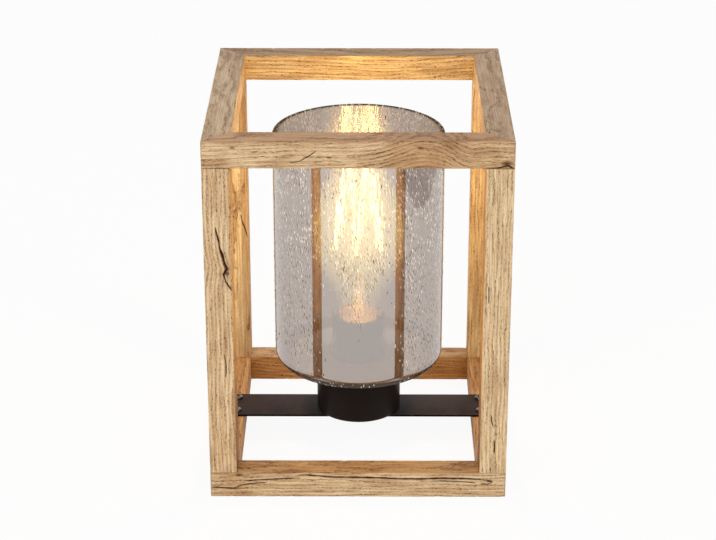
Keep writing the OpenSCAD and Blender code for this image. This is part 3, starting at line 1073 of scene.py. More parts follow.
@dataclass(frozen=True)
class Crack:
    """A drying crack: (along, across) points from the middle of a side."""

    line: tuple[Point, ...]
    width: float = 0.8
    depth: float = 0.9
    side: Side = Side.OUTER


@dataclass(frozen=True)
class Knot:
    """A small knot at (along, across), with its half length and half width."""

    at: Point
    size: Point
    side: Side = Side.OUTER


@dataclass(frozen=True)
class Dip:
    """A soft bend of the rings across a timber, with its place, reach and amount."""

    along: float
    reach: float
    amount: float


@dataclass(frozen=True)
class Patch:
    """Painted shade: a soft browner place on a side, with its place along it, its reach and its
    tint.
    """

    side: Side
    along: float
    reach: float
    painted_tint: Triple


@dataclass(frozen=True)
class Band:
    """Painted shade on a side past a line along it."""

    side: Side
    past: float
    painted_tint: Triple


@dataclass(frozen=True)
class Timber:
    """One oak piece of the frame, with the marks of its own wood.

    The heart is where the middle of the tree lies, from the middle of the
    section.  Painted light and shade, as tints and greys, go by side.  Marks
    lie at millimetres along the timber and across its side, from its middle.
    """

    kind: Kind
    turn: int
    heart: Point
    cracks: tuple[Crack, ...] = ()
    knots: tuple[Knot, ...] = ()
    dips: tuple[Dip, ...] = ()
    side_light: tuple[tuple[Side, Triple], ...] = ()
    cool_shades: tuple[tuple[Side, float], ...] = ()
    patches: tuple[Patch, ...] = ()
    bands: tuple[Band, ...] = ()

    @property
    def node(self) -> str:
        """Name of the node that it stands for."""
        rails = ("front", "right", "back", "left")
        posts = ("front_left", "front_right", "back_right", "back_left")
        names = posts if self.kind is Kind.POST else rails
        return f"{self.kind.value}_{names[self.turn]}"


@dataclass(frozen=True)
class OakFrame:
    """The twelve timbers: two mitred squares with four posts between them."""

    width: float = 200
    height: float = 256
    wood: float = 18.5
    ease: float = 0.8
    mesh_step: float = 0.9
    mitre_gap: float = 0.06
    seam_gap: float = 0.07
    grain_gap: float = 310
    uneven: float = 0.1
    uneven_size: float = 13
    wear: float = 0.45
    wear_size: float = 4.5
    wear_least: float = 0.15
    wear_edge: float = 1.6
    patch_wave: float = 0.35
    patch_size: float = 9
    refine_reach: float = 1.1
    crack_reach: float = 3

    @property
    def corner(self) -> float:
        """Distance of the middle of a timber from the middle of the lamp."""
        return (self.width - self.wood) / 2

    def bar(self, length: float) -> Shape:
        """A fine-meshed timber along X with eased long edges.

        Args:
            length: Its length.

        Returns:
            The shape, centred.
        """
        bm = bmesh.new()
        bmesh.ops.create_cube(bm, size=1)
        bmesh.ops.scale(bm, verts=bm.verts, vec=(length, self.wood, self.wood))
        round_edges(bm, self.lengthwise(bm), self.ease, 3)
        across = [e for e in bm.edges if e.calc_length() > self.wood / 2 and not self.runs_along(e)]
        strips, rings = round(self.wood / self.mesh_step), round(length / self.mesh_step)
        bmesh.ops.subdivide_edges(bm, edges=across, cuts=strips - 1, use_grid_fill=True)
        along = self.lengthwise(bm)
        bmesh.ops.subdivide_edges(bm, edges=along, cuts=rings - 1, use_grid_fill=True)
        return bm

    def runs_along(self, edge: bmesh.types.BMEdge) -> bool:
        """Whether an edge runs along X."""
        way = edge.verts[1].co - edge.verts[0].co
        return abs(way.x) > 0.5 * way.length

    def lengthwise(self, bm: Shape) -> list[bmesh.types.BMEdge]:
        """The edges that run along X."""
        return [e for e in bm.edges if self.runs_along(e)]

    def mitre(self, bm: Shape) -> None:
        """Cuts both ends of a rail to 45 degrees and eases its outer corners.

        Args:
            bm: The rail along X, centred.
        """
        out = self.width / 2
        for end in (-1, 1):
            cuts = (
                ((end * (out - self.mitre_gap), -out), (end, 1)),
                ((end * (out - self.ease), -out), (end, -1)),
            )
            for (x, y), (nx, ny) in cuts:
                cut = bmesh.ops.bisect_plane(
                    bm,
                    geom=bm.verts[:] + bm.edges[:] + bm.faces[:],
                    plane_co=(x, y + self.corner, 0),
                    plane_no=Vector((nx, ny, 0)).normalized(),
                    clear_outer=True,
                )
                rim = [e for e in cut["geom_cut"] if isinstance(e, bmesh.types.BMEdge)]
                bmesh.ops.contextual_create(bm, geom=rim)

    def near(self, side: Side, line: Sequence[Point], co: Vector) -> tuple[float, float]:
        """How near a place is to a line on a side.

        Args:
            side: The side of the timber.
            line: The line's (along, across) points.
            co: The place.

        Returns:
            The distance, large off that side, and the share of the line run.
        """
        axis, way = side.value
        best = (math.inf, 0.0)
        if way * co[axis] < self.wood / 2 - self.ease:
            return best
        here = Vector((co.x, co[3 - axis]))
        for i, (a, b) in enumerate(zip(line, line[1:])):
            a, b = Vector(a), Vector(b)
            t = clamp((here - a).dot(b - a) / (b - a).length_squared)
            gap = (here - a.lerp(b, t)).length
            if gap < best[0]:
                best = (gap, (i + t) / (len(line) - 1))
        return best

    def refine(self, bm: Shape, timber: Timber) -> None:
        """Makes the mesh three times finer along the cracks.

        Args:
            bm: The timber along X, centred.
            timber: Its own marks.
        """
        for crack in timber.cracks:
            low = min(p[0] for p in crack.line) - 2
            high = max(p[0] for p in crack.line) + 2
            close = set()
            for face in bm.faces:
                centre = face.calc_center_median()
                if not low < centre.x < high or len(face.verts) > 8:
                    continue
                if self.near(crack.side, crack.line, centre)[0] < self.refine_reach:
                    close.update(face.edges)
            bmesh.ops.subdivide_edges(bm, edges=list(close), cuts=2, use_grid_fill=True)

    def ring_place(self, timber: Timber, co: Vector) -> Vector:
        """A place counted from the heart of the tree, with the rings bent at the dips.

        Args:
            timber: The marks of the timber.
            co: The place.

        Returns:
            The place in the tree, X along the grain.
        """
        bend = sum(
            dip.amount * math.exp(-(((co.x - dip.along) / dip.reach) ** 2)) for dip in timber.dips
        )
        return Vector((co.x, co.y - timber.heart[0], co.z - timber.heart[1] + bend))

    def knot_marks(self, knot: Knot, co: Vector) -> tuple[Vector, float, float]:
        """What a knot does at a place.

        Args:
            knot: The knot.
            co: The place.

        Returns:
            The bend of the rings, the darkness, and how far the surface sinks.
        """
        (along, middle), (long, wide) = knot.at, knot.size
        if self.near(knot.side, (knot.at, (along + 0.01, middle)), co)[0] > 6 * wide:
            return Vector(), 0.0, 0.0
        across = co[3 - knot.side.value[0]] - middle
        reach = math.hypot((co.x - along) / long, across / wide)
        bend = 1.2 * wide * math.exp(-reach / 2)
        dark = 0.85 * max(0.0, 1.35 - reach) ** 0.7
        return Vector((0, bend, math.copysign(bend, across))), dark, 0.25 * max(0.0, 1 - reach)

    def crack_marks(self, crack: Crack, co: Vector, number: int) -> tuple[float, float]:
        """What a crack does at a place.

        Args:
            crack: The crack.
            co: The place.
            number: The number of the timber.

        Returns:
            The darkness, and how far the surface sinks.
        """
        gap, run = self.near(crack.side, crack.line, co)
        if gap > self.crack_reach:
            return 0.0, 0.0
        ragged = 1.0 + 0.7 * noise.noise(Vector((co.x / 5, number, crack.width)))
        taper = min(1.0, 0.3 + 5 * min(run, 1 - run))
        wide = crack.width / 2 * ragged * taper
        dark = 1 - clamp((gap - 0.6 * wide) / (0.5 * wide + 0.2))
        return dark, crack.depth * taper * max(0.0, 1 - (gap / wide) ** 2)

    def painted_light_at(self, timber: Timber, co: Vector, shift: Vector) -> tuple[Vector, float]:
        """The painted light and shade of a place: its tint and its grey.

        Args:
            timber: The marks of the timber.
            co: The place.
            shift: Where the timber's own stretch of noise lies.

        Returns:
            What the colour is multiplied by, and the share of grey in it.
        """
        plain, half = Vector((1, 1, 1)), self.wood / 2
        tint, dull = plain.copy(), 0.0
        for side in Side:
            axis, way = side.value
            share = clamp(1 + (way * co[axis] - half) / self.ease)
            if not share:
                continue
            side_light = [painted_tint for painted_side, painted_tint in timber.side_light if painted_side is side]
            side_light += [b.painted_tint for b in timber.bands if b.side is side and co[3 - axis] > b.past]
            for painted_tint in side_light:
                tint *= plain.lerp(Vector(painted_tint), share)
            for patch in timber.patches:
                if patch.side is side:
                    wave = self.patch_wave * noise.noise((co + shift) / self.patch_size)
                    near = math.exp(-(((co.x - patch.along) / patch.reach) ** 2)) + wave
                    tint *= plain.lerp(Vector(patch.painted_tint), share * clamp(near))
            dull += share * sum(cool_shade for cool_side, cool_shade in timber.cool_shades if cool_side is side)
        return tint, min(1.0, dull)

    def mark(self, bm: Shape, timber: Timber, number: int) -> None:
        """Writes the grain, the dark of knots and cracks and the painted light and shade of each
        point, and shapes the surface.

        Args:
            bm: The timber along X, centred.
            timber: Its own marks.
            number: Its number, which gives it its own stretch of grain.
        """
        grain = bm.verts.layers.float_vector.new("grain")
        check = bm.verts.layers.float.new("check")
        painted_tint = bm.verts.layers.float_vector.new("painted_tint")
        cool_shade = bm.verts.layers.float.new("cool_shade")
        bm.normal_update()
        rim = self.wood / 2 - self.wear_edge
        shift = Vector((self.grain_gap * number, 0, 0))
        for v in bm.verts:
            co, dark = v.co.copy(), 0.0
            here = self.ring_place(timber, co)
            sink = self.uneven * (0.5 + 0.5 * noise.noise((co + shift) / self.uneven_size))
            for knot in timber.knots:
                bend, darker, deeper = self.knot_marks(knot, co)
                here += bend
                dark, sink = max(dark, darker), sink + deeper
            for crack in timber.cracks:
                darker, deeper = self.crack_marks(crack, co, number)
                dark, sink = max(dark, darker), sink + deeper
            if min(abs(co.y), abs(co.z)) > rim:
                chip = noise.noise((co + shift) / self.wear_size) - self.wear_least
                sink += self.wear * max(0.0, chip)
            v[grain], v[check] = here + shift, min(1.0, dark)
            v[painted_tint], v[cool_shade] = self.painted_light_at(timber, co, shift)
            v.co = co - v.normal * sink

    def timber_mesh(self, timber: Timber, number: int) -> Mesh:
        """Builds one timber in its place.

        Args:
            timber: The timber.
            number: Its number in the frame.

        Returns:
            The mesh, in metres.
        """
        spin = Matrix.Rotation(math.radians(90 * timber.turn), 4, "Z")
        if timber.kind is Kind.POST:
            bm = self.bar(self.height - 2 * self.wood - 2 * self.seam_gap)
            stand = Matrix.Rotation(math.radians(-90), 4, "Y")
            place = Matrix.Translation((-self.corner, -self.corner, self.height / 2)) @ stand
        else:
            bm = self.bar(self.width)
            self.mitre(bm)
            low = timber.kind is Kind.BOTTOM_RAIL
            z = self.wood / 2 if low else self.height - self.wood / 2
            place = Matrix.Translation((0, -self.corner, z))
        self.refine(bm, timber)
        self.mark(bm, timber, number)
        bmesh.ops.transform(bm, matrix=spin @ place, verts=bm.verts)
        bmesh.ops.recalc_face_normals(bm, faces=bm.faces)
        return to_mesh(bm, timber.node, 50)

    def timbers(self) -> list[Timber]:
        """The twelve timbers with their own marks."""
        return [*self.top_rails(), *self.bottom_rails(), *self.posts()]

    def top_rails(self) -> list[Timber]:
        """The rails of the top square, from the front one anticlockwise.

        Returns:
            The timbers.
        """
        rail = Kind.TOP_RAIL
        # The side tints, greys and patches are painted light and shade: darker, greyer tops, warmer
        # inner faces.
        front = Timber(
            rail, 0, heart=(6, 46),
            dips=(Dip(42, 24, -10), Dip(70, 9, 2.5), Dip(-95, 40, 2.5)),
            cracks=(
                Crack(
                    ((-43, -5.2), (-37.4, -4.3), (-34.2, -2.3), (-31, -0.6), (-26.6, 2.8)), 0.5
                ),
                Crack(((77.5, -9.0), (88.3, -8.8), (95.2, -7.0), (98.6, -8.6)), 1.0),
            ),
            knots=(
                Knot((-79.8, 4.7), (1.6, 0.6)),
                Knot((-18.4, -1.6), (1.4, 0.9)),
                Knot((94.5, -5.6), (3.2, 1.7)),
                Knot((39.5, 5.0), (2.0, 0.8)),
            ),
            side_light=((Side.UPPER, (0.86, 0.73, 0.66)),),
            cool_shades=((Side.UPPER, 0.2),),
            patches=(
                Patch(Side.OUTER, 38, 32, (0.74, 0.62, 0.52)),
                Patch(Side.OUTER, 88, 24, (0.88, 0.82, 0.76)),
                Patch(Side.UPPER, 45, 40, (0.84, 0.78, 0.74)),
            ),
        )
        right = Timber(
            rail, 1, heart=(14, -60),
            side_light=((Side.UPPER, (0.88, 0.86, 0.9)), (Side.INNER, (0.95, 0.93, 0.8))),
            cool_shades=((Side.UPPER, 0.35),),
        )
        back = Timber(
            rail, 2, heart=(-8, 52),
            dips=(Dip(-20, 50, 3),),
            side_light=((Side.UPPER, (0.82, 0.74, 0.68)), (Side.INNER, (0.92, 0.9, 0.72))),
            cool_shades=((Side.UPPER, 0.4),),
        )
        left = Timber(
            rail, 3, heart=(-18, -58),
            side_light=((Side.UPPER, (1.02, 1.05, 1.12)), (Side.INNER, (0.95, 0.93, 0.8))),
            cool_shades=((Side.UPPER, 0.3),),
        )
        return [front, right, back, left]

    def bottom_rails(self) -> list[Timber]:
        """The rails of the bottom square, from the front one anticlockwise.

        Returns:
            The timbers.
        """
        rail = Kind.BOTTOM_RAIL
        # Painted shade on the inner and top faces inside the frame.
        shade = (0.7, 0.56, 0.42)
        front = Timber(
            rail, 0, heart=(4, -64),
            cracks=(
                Crack(((-99, -2.0), (-92.3, -2.3), (-86.8, -2.7), (-80, -2.6)), 0.9),
                Crack(
                    ((-84.5, -2.4), (-78, -0.2), (-73.2, 0.8), (-67.8, 1.4), (-62.3, 1.6)), 0.7
                ),
                Crack(
                    ((-77.9, 2.7), (-67.7, 3.8), (-58.2, 4.2), (-49.4, 4.8), (-39.3, 5.2)), 0.8
                ),
                Crack(
                    (
                        (-41.3, 7.4), (-34.5, 7.6), (-27.1, 6.9), (-18.9, 6.0),
                        (1.4, 5.8), (14.9, 5.4), (28.4, 4.7), (42.0, 4.6),
                        (55.5, 5.2), (69.0, 5.2), (81.2, 4.4), (90.7, 3.4),
                    ),
                    1.1,
                    1.0,
                ),
                Crack(((39.3, 3.1), (55.5, 3.3), (69.1, 2.8), (79.3, 1.8)), 0.6),
                Crack(((87.3, 3.6), (90.7, 2.4), (88.1, 0.8), (82.7, 1.0)), 0.6),
            ),
            knots=(Knot((-80.5, 7.4), (2.6, 1.2)),),
            side_light=((Side.OUTER, (0.95, 0.95, 0.95)), (Side.UPPER, (0.66, 0.57, 0.46))),
            patches=(Patch(Side.OUTER, -82, 14, (0.82, 0.72, 0.62)),),
        )
        right = Timber(rail, 1, heart=(-30, 52), side_light=((Side.INNER, shade), (Side.UPPER, shade)))
        back = Timber(
            rail, 2, heart=(10, 48),
            dips=(Dip(30, 40, 4),),
            side_light=((Side.INNER, (0.62, 0.44, 0.26)), (Side.UPPER, (0.82, 0.78, 0.77))),
        )
        left = Timber(rail, 3, heart=(26, -55), side_light=((Side.INNER, shade), (Side.UPPER, shade)))
        return [front, right, back, left]

    def dusk(self, deep: float) -> tuple[Patch, ...]:
        """Soft patches of painted shade by which the inner faces of a front post darken downwards.

        Args:
            deep: What the first patch leaves of the colour.

        Returns:
            The patches of a timber.
        """
        first, last = (deep, deep * 0.9, deep * 0.82), (0.6, 0.54, 0.5)
        spots = ((-95, 75, first), (-105, 45, last))
        return tuple(Patch(side, *spot) for side in (Side.INNER, Side.LOWER) for spot in spots)

    def posts(self) -> list[Timber]:
        """The four posts, from the front left one anticlockwise.

        Returns:
            The timbers.
        """
        # Painted light and shade on faces that look into the lamp: lit, tan and shade paint the
        # bulb's warm light with some shade, dim paints deeper shade.
        shade, dim = (1.0, 0.66, 0.2), (0.5, 0.3, 0.08)
        lit, tan = (1.04, 0.8, 0.38), (0.84, 0.58, 0.24)
        front_left = Timber(
            Kind.POST, 0, heart=(8, 58),
            dips=(Dip(40, 9, 2.2),),
            cracks=(
                Crack(
                    (
                        (69, 1.2), (64, 0.2), (59, -0.9), (55, -1.2), (50, -2.9),
                        (45, -4.0), (40, -5.6), (36, -3.4), (31, -4.8), (25, -8.4),
                    ),
                    1.5,
                    1.3,
                ),
                Crack(((-22, -2.6), (-30, -3.6), (-38, -3.2)), 0.5, 0.4),
            ),
            knots=(Knot((37, -5.6), (1.9, 1.1)),),
            side_light=((Side.LOWER, lit), (Side.INNER, shade)),
            patches=self.dusk(0.5),
        )
        front_right = Timber(
            Kind.POST, 1, heart=(-62, -6),
            cracks=(
                Crack(((-66, 1.6), (-70, 1.5), (-74, 0.2)), 0.6, 0.4, Side.UPPER),
                Crack(((-84, -0.6), (-90, -1.0), (-94, -0.8)), 0.7, 0.5, Side.UPPER),
                Crack(((28, 5.6), (16, 5.4)), 0.5, 0.4, Side.UPPER),
            ),
            side_light=((Side.UPPER, (1.02, 1.05, 1.06)), (Side.INNER, tan), (Side.LOWER, dim)),
            patches=self.dusk(0.6),
        )
        back_right = Timber(
            Kind.POST, 2, heart=(10, -55),
            side_light=((Side.INNER, (0.95, 0.92, 0.76)), (Side.LOWER, (0.95, 0.92, 0.76))),
        )
        back_left = Timber(
            Kind.POST, 3, heart=(12, 60),
            cracks=(Crack(((6, 4.0), (1, 4.6), (-4, 6.6), (-11, 8.4)), 0.9, 0.8, Side.LOWER),),
            side_light=((Side.LOWER, (1.02, 1.06, 0.98)), (Side.INNER, (0.8, 0.78, 0.7))),
            bands=(Band(Side.LOWER, 4.4, (0.7, 0.64, 0.6)),),
        )
        return [front_left, front_right, back_right, back_left]

    def build(self) -> None:
        """Builds the timbers and dresses them."""
        oak = OiledOak().material("oiled_oak")
        for number, timber in enumerate(self.timbers()):
            mesh = self.timber_mesh(timber, number)
            slot = "oak_post" if timber.kind is Kind.POST else "oak_rail"
            piece(mesh, f"{timber.node}_oak", oak, "lamp", slot, timber.node)
        dowel = DowelWood().material("dowel_wood")
        for node in ("top_dowels", "bottom_dowels"):
            dress(node, dowel)


def dress(node: str, material: Material) -> None:
    """Gives a node of the frame that stays in view its finish.

    Args:
        node: Name of the node.
        material: Its finish.
    """
    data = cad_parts[node].data
    data.materials.clear()
    data.materials.append(material)
    LOG.info("%-24s keeps its shape", node)


# ---- crossbar and cup ----


@dataclass(frozen=True)
class Crossbar:
    """The flat bar that lies on the side rails, and its four screws."""

    length: float = 186
    width: float = 33
    thick: float = 1.5
    corner: float = 2
    edge: float = 0.28
    z: float = 18.5
    screw_x: float = 87.25
    screw_y: float = 10
    head_d: float = 7
    head_h: float = 2.2
    head_edge: float = 0.2
    recess_l: float = 3.5
    recess_w: float = 0.75
    recess_turn: float = 35
    shank_d: float = 3.5
    shank_l: float = 14
    point_l: float = 3

    def bar(self) -> Mesh:
        """The bar with rounded corners and softened edges.

        Returns:
            The mesh, in metres.
        """
        bm = bmesh.new()
        bmesh.ops.create_cube(bm, size=1)
        bmesh.ops.scale(bm, verts=bm.verts, vec=(self.length, self.width, self.thick))
        posts = [e for e in bm.edges if abs(e.verts[0].co.z - e.verts[1].co.z) > self.thick / 2]
        round_edges(bm, posts, self.corner, 8)
        soften(bm, self.edge, 60, 3)
        return to_mesh(lift(bm, self.z + self.thick / 2), "crossbar")

    def screw(self) -> Shape:
        """A pan-head wood screw with a cross recess.

        Returns:
            The screw, with the underside of its head on the origin.
        """
        r, top, shank = self.head_d / 2, self.head_h, self.shank_d / 2
        side_top = top * 0.4
        profile = [(0, -self.shank_l), (shank, self.point_l - self.shank_l), (shank, 0)]
        profile += [(r - self.head_edge, 0), (r, self.head_edge), (r, side_top)]
        profile += curve((r, side_top), (r, top * 0.8), (r / 2, top), (0, top), 8)
        bm = spun(profile, 40)
        for angle in (self.recess_turn, self.recess_turn + 90):
            slot = bmesh.new()
            bmesh.ops.create_cube(slot, size=1)
            bmesh.ops.scale(slot, verts=slot.verts, vec=(self.recess_l, self.recess_w, top))
            bm = carved(bm, turn(lift(slot, top), angle, "Z"))
        return bm

    def screws(self) -> Mesh:
        """The four screws in their places.

        Returns:
            The mesh, in metres.
        """
        made = []
        for x in (-self.screw_x, self.screw_x):
            for y in (-self.screw_y, self.screw_y):
                screw = self.screw()
                bmesh.ops.translate(screw, verts=screw.verts, vec=(x, y, self.z + self.thick))
                made.append(screw)
        return to_mesh(joined(made), "crossbar_screws")

    def build(self) -> None:
        """Builds the bar and the screws and dresses them."""
        coat = Coated(srgb(4, 3, 3), srgb(55, 47, 48), gloss=0.05).material("black_coat")
        black = BareMetal(srgb(122, 117, 113), srgb(70, 65, 61), 0.2).material("black_screw")
        piece(self.bar(), "flat_bar", coat, "lamp", "black_coat", "crossbar")
        piece(self.screws(), "bar_screw_set", black, "lamp", "black_screw", "crossbar_screws")


@dataclass(frozen=True)
class HolderCup:
    """The cup on the bar, its cover and seat ring, its inlet and its fastening."""

    d: float = 59
    h: float = 37
    t: float = 1.2
    lip: float = 5.5
    round: float = 2
    skirt: float = 4
    seat_t: float = 1
    seat_edge: float = 0.3
    bar_t: float = 1.5
    z: float = 20
    inlet_z: float = 32.2
    cable_r: float = 3.25
    bush_wall: float = 1.5
    bush_flange: float = 1.4
    flange_t: float = 1.6
    flange_edge: float = 0.5
    fit: float = 0.05
    tube_d: float = 10
    tube_t: float = 1.2
    tube_pitch: float = 1
    tube_depth: float = 0.4
    tube_low: float = 13.5
    tube_top: float = 44
    nut_flats: float = 14
    nut_t: float = 3
    nut_edge: float = 0.3
    washer_d: float = 18
    washer_t: float = 1
    washer_edge: float = 0.2

    def cup(self) -> Mesh:
        """The drawn cup with the hole of its inlet.

        Returns:
            The mesh, in metres.
        """
        r, b, rim, hole = self.d / 2, self.round, self.h - self.t, self.tube_d / 2 + self.fit
        profile = [(hole, 0), *arc((r - b, b), b, 270, 360, 8), (r, rim), (r - self.t, rim)]
        profile += arc((r - b, b), b - self.t, 360, 270, 8) + [(hole, self.t)]
        cutter = bmesh.new()
        bore = self.cable_r + self.bush_wall + self.fit
        ends = {"radius1": bore, "radius2": bore}
        bmesh.ops.create_cone(cutter, cap_ends=True, segments=64, depth=self.d, **ends)
        turn(lift(cutter, self.d / 2), -90, "X")
        lift(cutter, self.inlet_z - self.z)
        return to_mesh(lift(carved(spun(profile, 160), cutter), self.z), "cup")

    def cover(self) -> Mesh:
        """The ring-shaped cover with its skirt.

        Returns:
            The mesh, in metres.
        """
        r, low, top = self.d / 2, self.z + self.h - self.t, self.z + self.h
        skirt_r = r - self.t - self.fit
        profile = [(r - self.lip, low), (r - self.lip, top), *arc((r - self.t, low), self.t, 90, 0)]
        profile += [(skirt_r, low), (skirt_r, low - self.skirt)]
        profile += [(skirt_r - self.t, low - self.skirt), (skirt_r - self.t, low)]
        return to_mesh(spun(profile, 160), "cup_cover")

    def seat_ring(self) -> Mesh:
        """The soft ring under the glass, with rounded edges.

        Returns:
            The mesh, in metres.
        """
        inner, outer, soft = self.d / 2 - self.lip, self.d / 2 - self.round, self.seat_edge
        low = self.z + self.h
        turn_z = low + self.seat_t - soft
        profile = [(inner, low), *arc((inner + soft, turn_z), soft, 180, 90, 3)]
        profile += [*arc((outer - soft, turn_z), soft, 90, 0, 3), (outer, low)]
        return to_mesh(spun(profile, 160), "seat_ring")

    def bush(self) -> Mesh:
        """The snap-in bush of the inlet.

        Returns:
            The mesh, in metres.
        """
        r, flange = self.cable_r + self.bush_wall, self.cable_r + self.bush_wall + self.bush_flange
        outer_y, inner_r = self.d / 2 + self.fit, self.d / 2 - self.t
        inner_y = math.sqrt(inner_r**2 - flange**2) - self.fit
        end, soft = outer_y + self.flange_t, self.flange_edge
        profile = [(self.cable_r, inner_y - self.flange_t), (r, inner_y - self.flange_t)]
        profile += [(flange, inner_y - 0.3), (flange, inner_y), (r, inner_y), (r, outer_y)]
        profile += [(flange, outer_y), *arc((flange - soft, end - soft), soft, 0, 90, 4)]
        profile += arc((self.cable_r + soft, end - soft), soft, 90, 180, 4)
        return to_mesh(lift(turn(spun(profile, 64), -90, "X"), self.inlet_z), "bush")

    def tube(self) -> Mesh:
        """The tube with its fine thread.

        Returns:
            The mesh, in metres.
        """
        r, pitch, low = self.tube_d / 2, self.tube_pitch, self.tube_low
        bore, root, plain = r - self.tube_t, r - self.tube_depth, r - self.tube_depth - 0.05
        profile = [(bore, self.tube_top), (bore, low), (plain, low)]
        for i in range(int((self.tube_top - low) / pitch)):
            profile += [(r, low + pitch * (i + 0.4)), (r, low + pitch * (i + 0.5))]
            profile += [(root, low + pitch * (i + 0.9)), (root, low + pitch * (i + 0.98))]
        profile.append((plain, self.tube_top))
        return to_mesh(spun(profile, 48), "tube", 20)

    def nut(self, z: float) -> Mesh:
        """A lock nut with softened corners.

        Args:
            z: Height of its foot.

        Returns:
            The mesh, in metres.
        """
        bm = bmesh.new()
        across = self.nut_flats / math.cos(math.radians(30)) / 2
        hexagon = bmesh.ops.create_circle(bm, segments=6, radius=across)["verts"]
        bore = bmesh.ops.create_circle(bm, segments=48, radius=self.tube_d / 2 + self.fit)["verts"]
        loops = {e for v in hexagon + bore for e in v.link_edges}
        bmesh.ops.bridge_loops(bm, edges=list(loops))
        top = bmesh.ops.extrude_face_region(bm, geom=bm.faces[:])["geom"]
        risen = [v for v in top if isinstance(v, bmesh.types.BMVert)]
        bmesh.ops.translate(bm, verts=risen, vec=(0, 0, self.nut_t))
        bmesh.ops.recalc_face_normals(bm, faces=bm.faces)
        soften(bm, self.nut_edge, 40)
        return to_mesh(lift(bm, z), "nut")

    def washer(self) -> Mesh:
        """The washer under the bar.

        Returns:
            The mesh, in metres.
        """
        top, soft = self.z - self.bar_t, self.washer_edge
        low = top - self.washer_t
        inner, outer = self.tube_d / 2 + self.fit, self.washer_d / 2
        profile = [(inner, low), (outer - soft, low), (outer, low + soft)]
        profile += [(outer, top), (inner, top)]
        return to_mesh(spun(profile, 64), "washer")

    def build(self) -> None:
        """Builds the pieces of the cup and dresses them."""
        coat = Coated(srgb(26, 19, 17), srgb(52, 45, 43), gloss=0.1).material("cup_coat")
        soft = Coated(srgb(26, 25, 26), srgb(38, 36, 36), roughness=0.75).material("soft_ring")
        black = Coated(srgb(30, 29, 31), srgb(44, 43, 44), roughness=0.5).material("bush_plastic")
        zinc = BareMetal(srgb(176, 178, 180), srgb(140, 138, 132), 0.34).material("zinc_steel")
        floor = self.z + self.t
        under = self.z - self.bar_t - self.washer_t - self.nut_t
        piece(self.cup(), "cup_shell", coat, "lamp", "black_coat", "holder_cup")
        piece(self.cover(), "cup_top_ring", coat, "lamp", "black_coat", "cup_cover")
        piece(self.seat_ring(), "soft_seat_ring", soft, "lamp", "soft_ring", "glass_seat_ring")
        piece(self.bush(), "inlet_bush", black, "lamp", "bush_plastic", "cable_bush")
        piece(self.tube(), "long_threaded_tube", zinc, "lamp", "zinc_steel", "threaded_tube")
        piece(self.nut(floor), "upper_lock_nut", zinc, "lamp", "zinc_steel", "cup_nut")
        piece(self.nut(under), "lower_lock_nut", zinc, "lamp", "zinc_steel", "bar_nut")
        piece(self.washer(), "plain_washer", zinc, "lamp", "zinc_steel", "bar_washer")


# ---- lampholder ----


@dataclass(frozen=True)
class Thread:
    """The round thread that the cap of the bulb and the screw shell share."""

    pitch: float = 3.629
    depth: float = 0.75
    fade: float = 1.8

    def cut(self, bm: Shape, low: float, high: float, least: float) -> None:
        """Presses the thread into every upright wall between two heights.

        Args:
            bm: The shape, in its place on the axis of the lamp.
            low: Where the thread starts.
            high: Where it ends.
            least: Radius below which nothing is moved.
        """
        for v in bm.verts:
            radius = math.hypot(v.co.x, v.co.y)
            if radius < least or not low < v.co.z < high:
                continue
            turns = v.co.z / self.pitch - math.atan2(v.co.y, v.co.x) / math.tau
            fade = min(1.0, (v.co.z - low) / self.fade, (high - v.co.z) / self.fade)
            sink = self.depth * fade * (0.5 - 0.5 * math.cos(math.tau * turns))
            v.co.x *= (radius - sink) / radius
            v.co.y *= (radius - sink) / radius


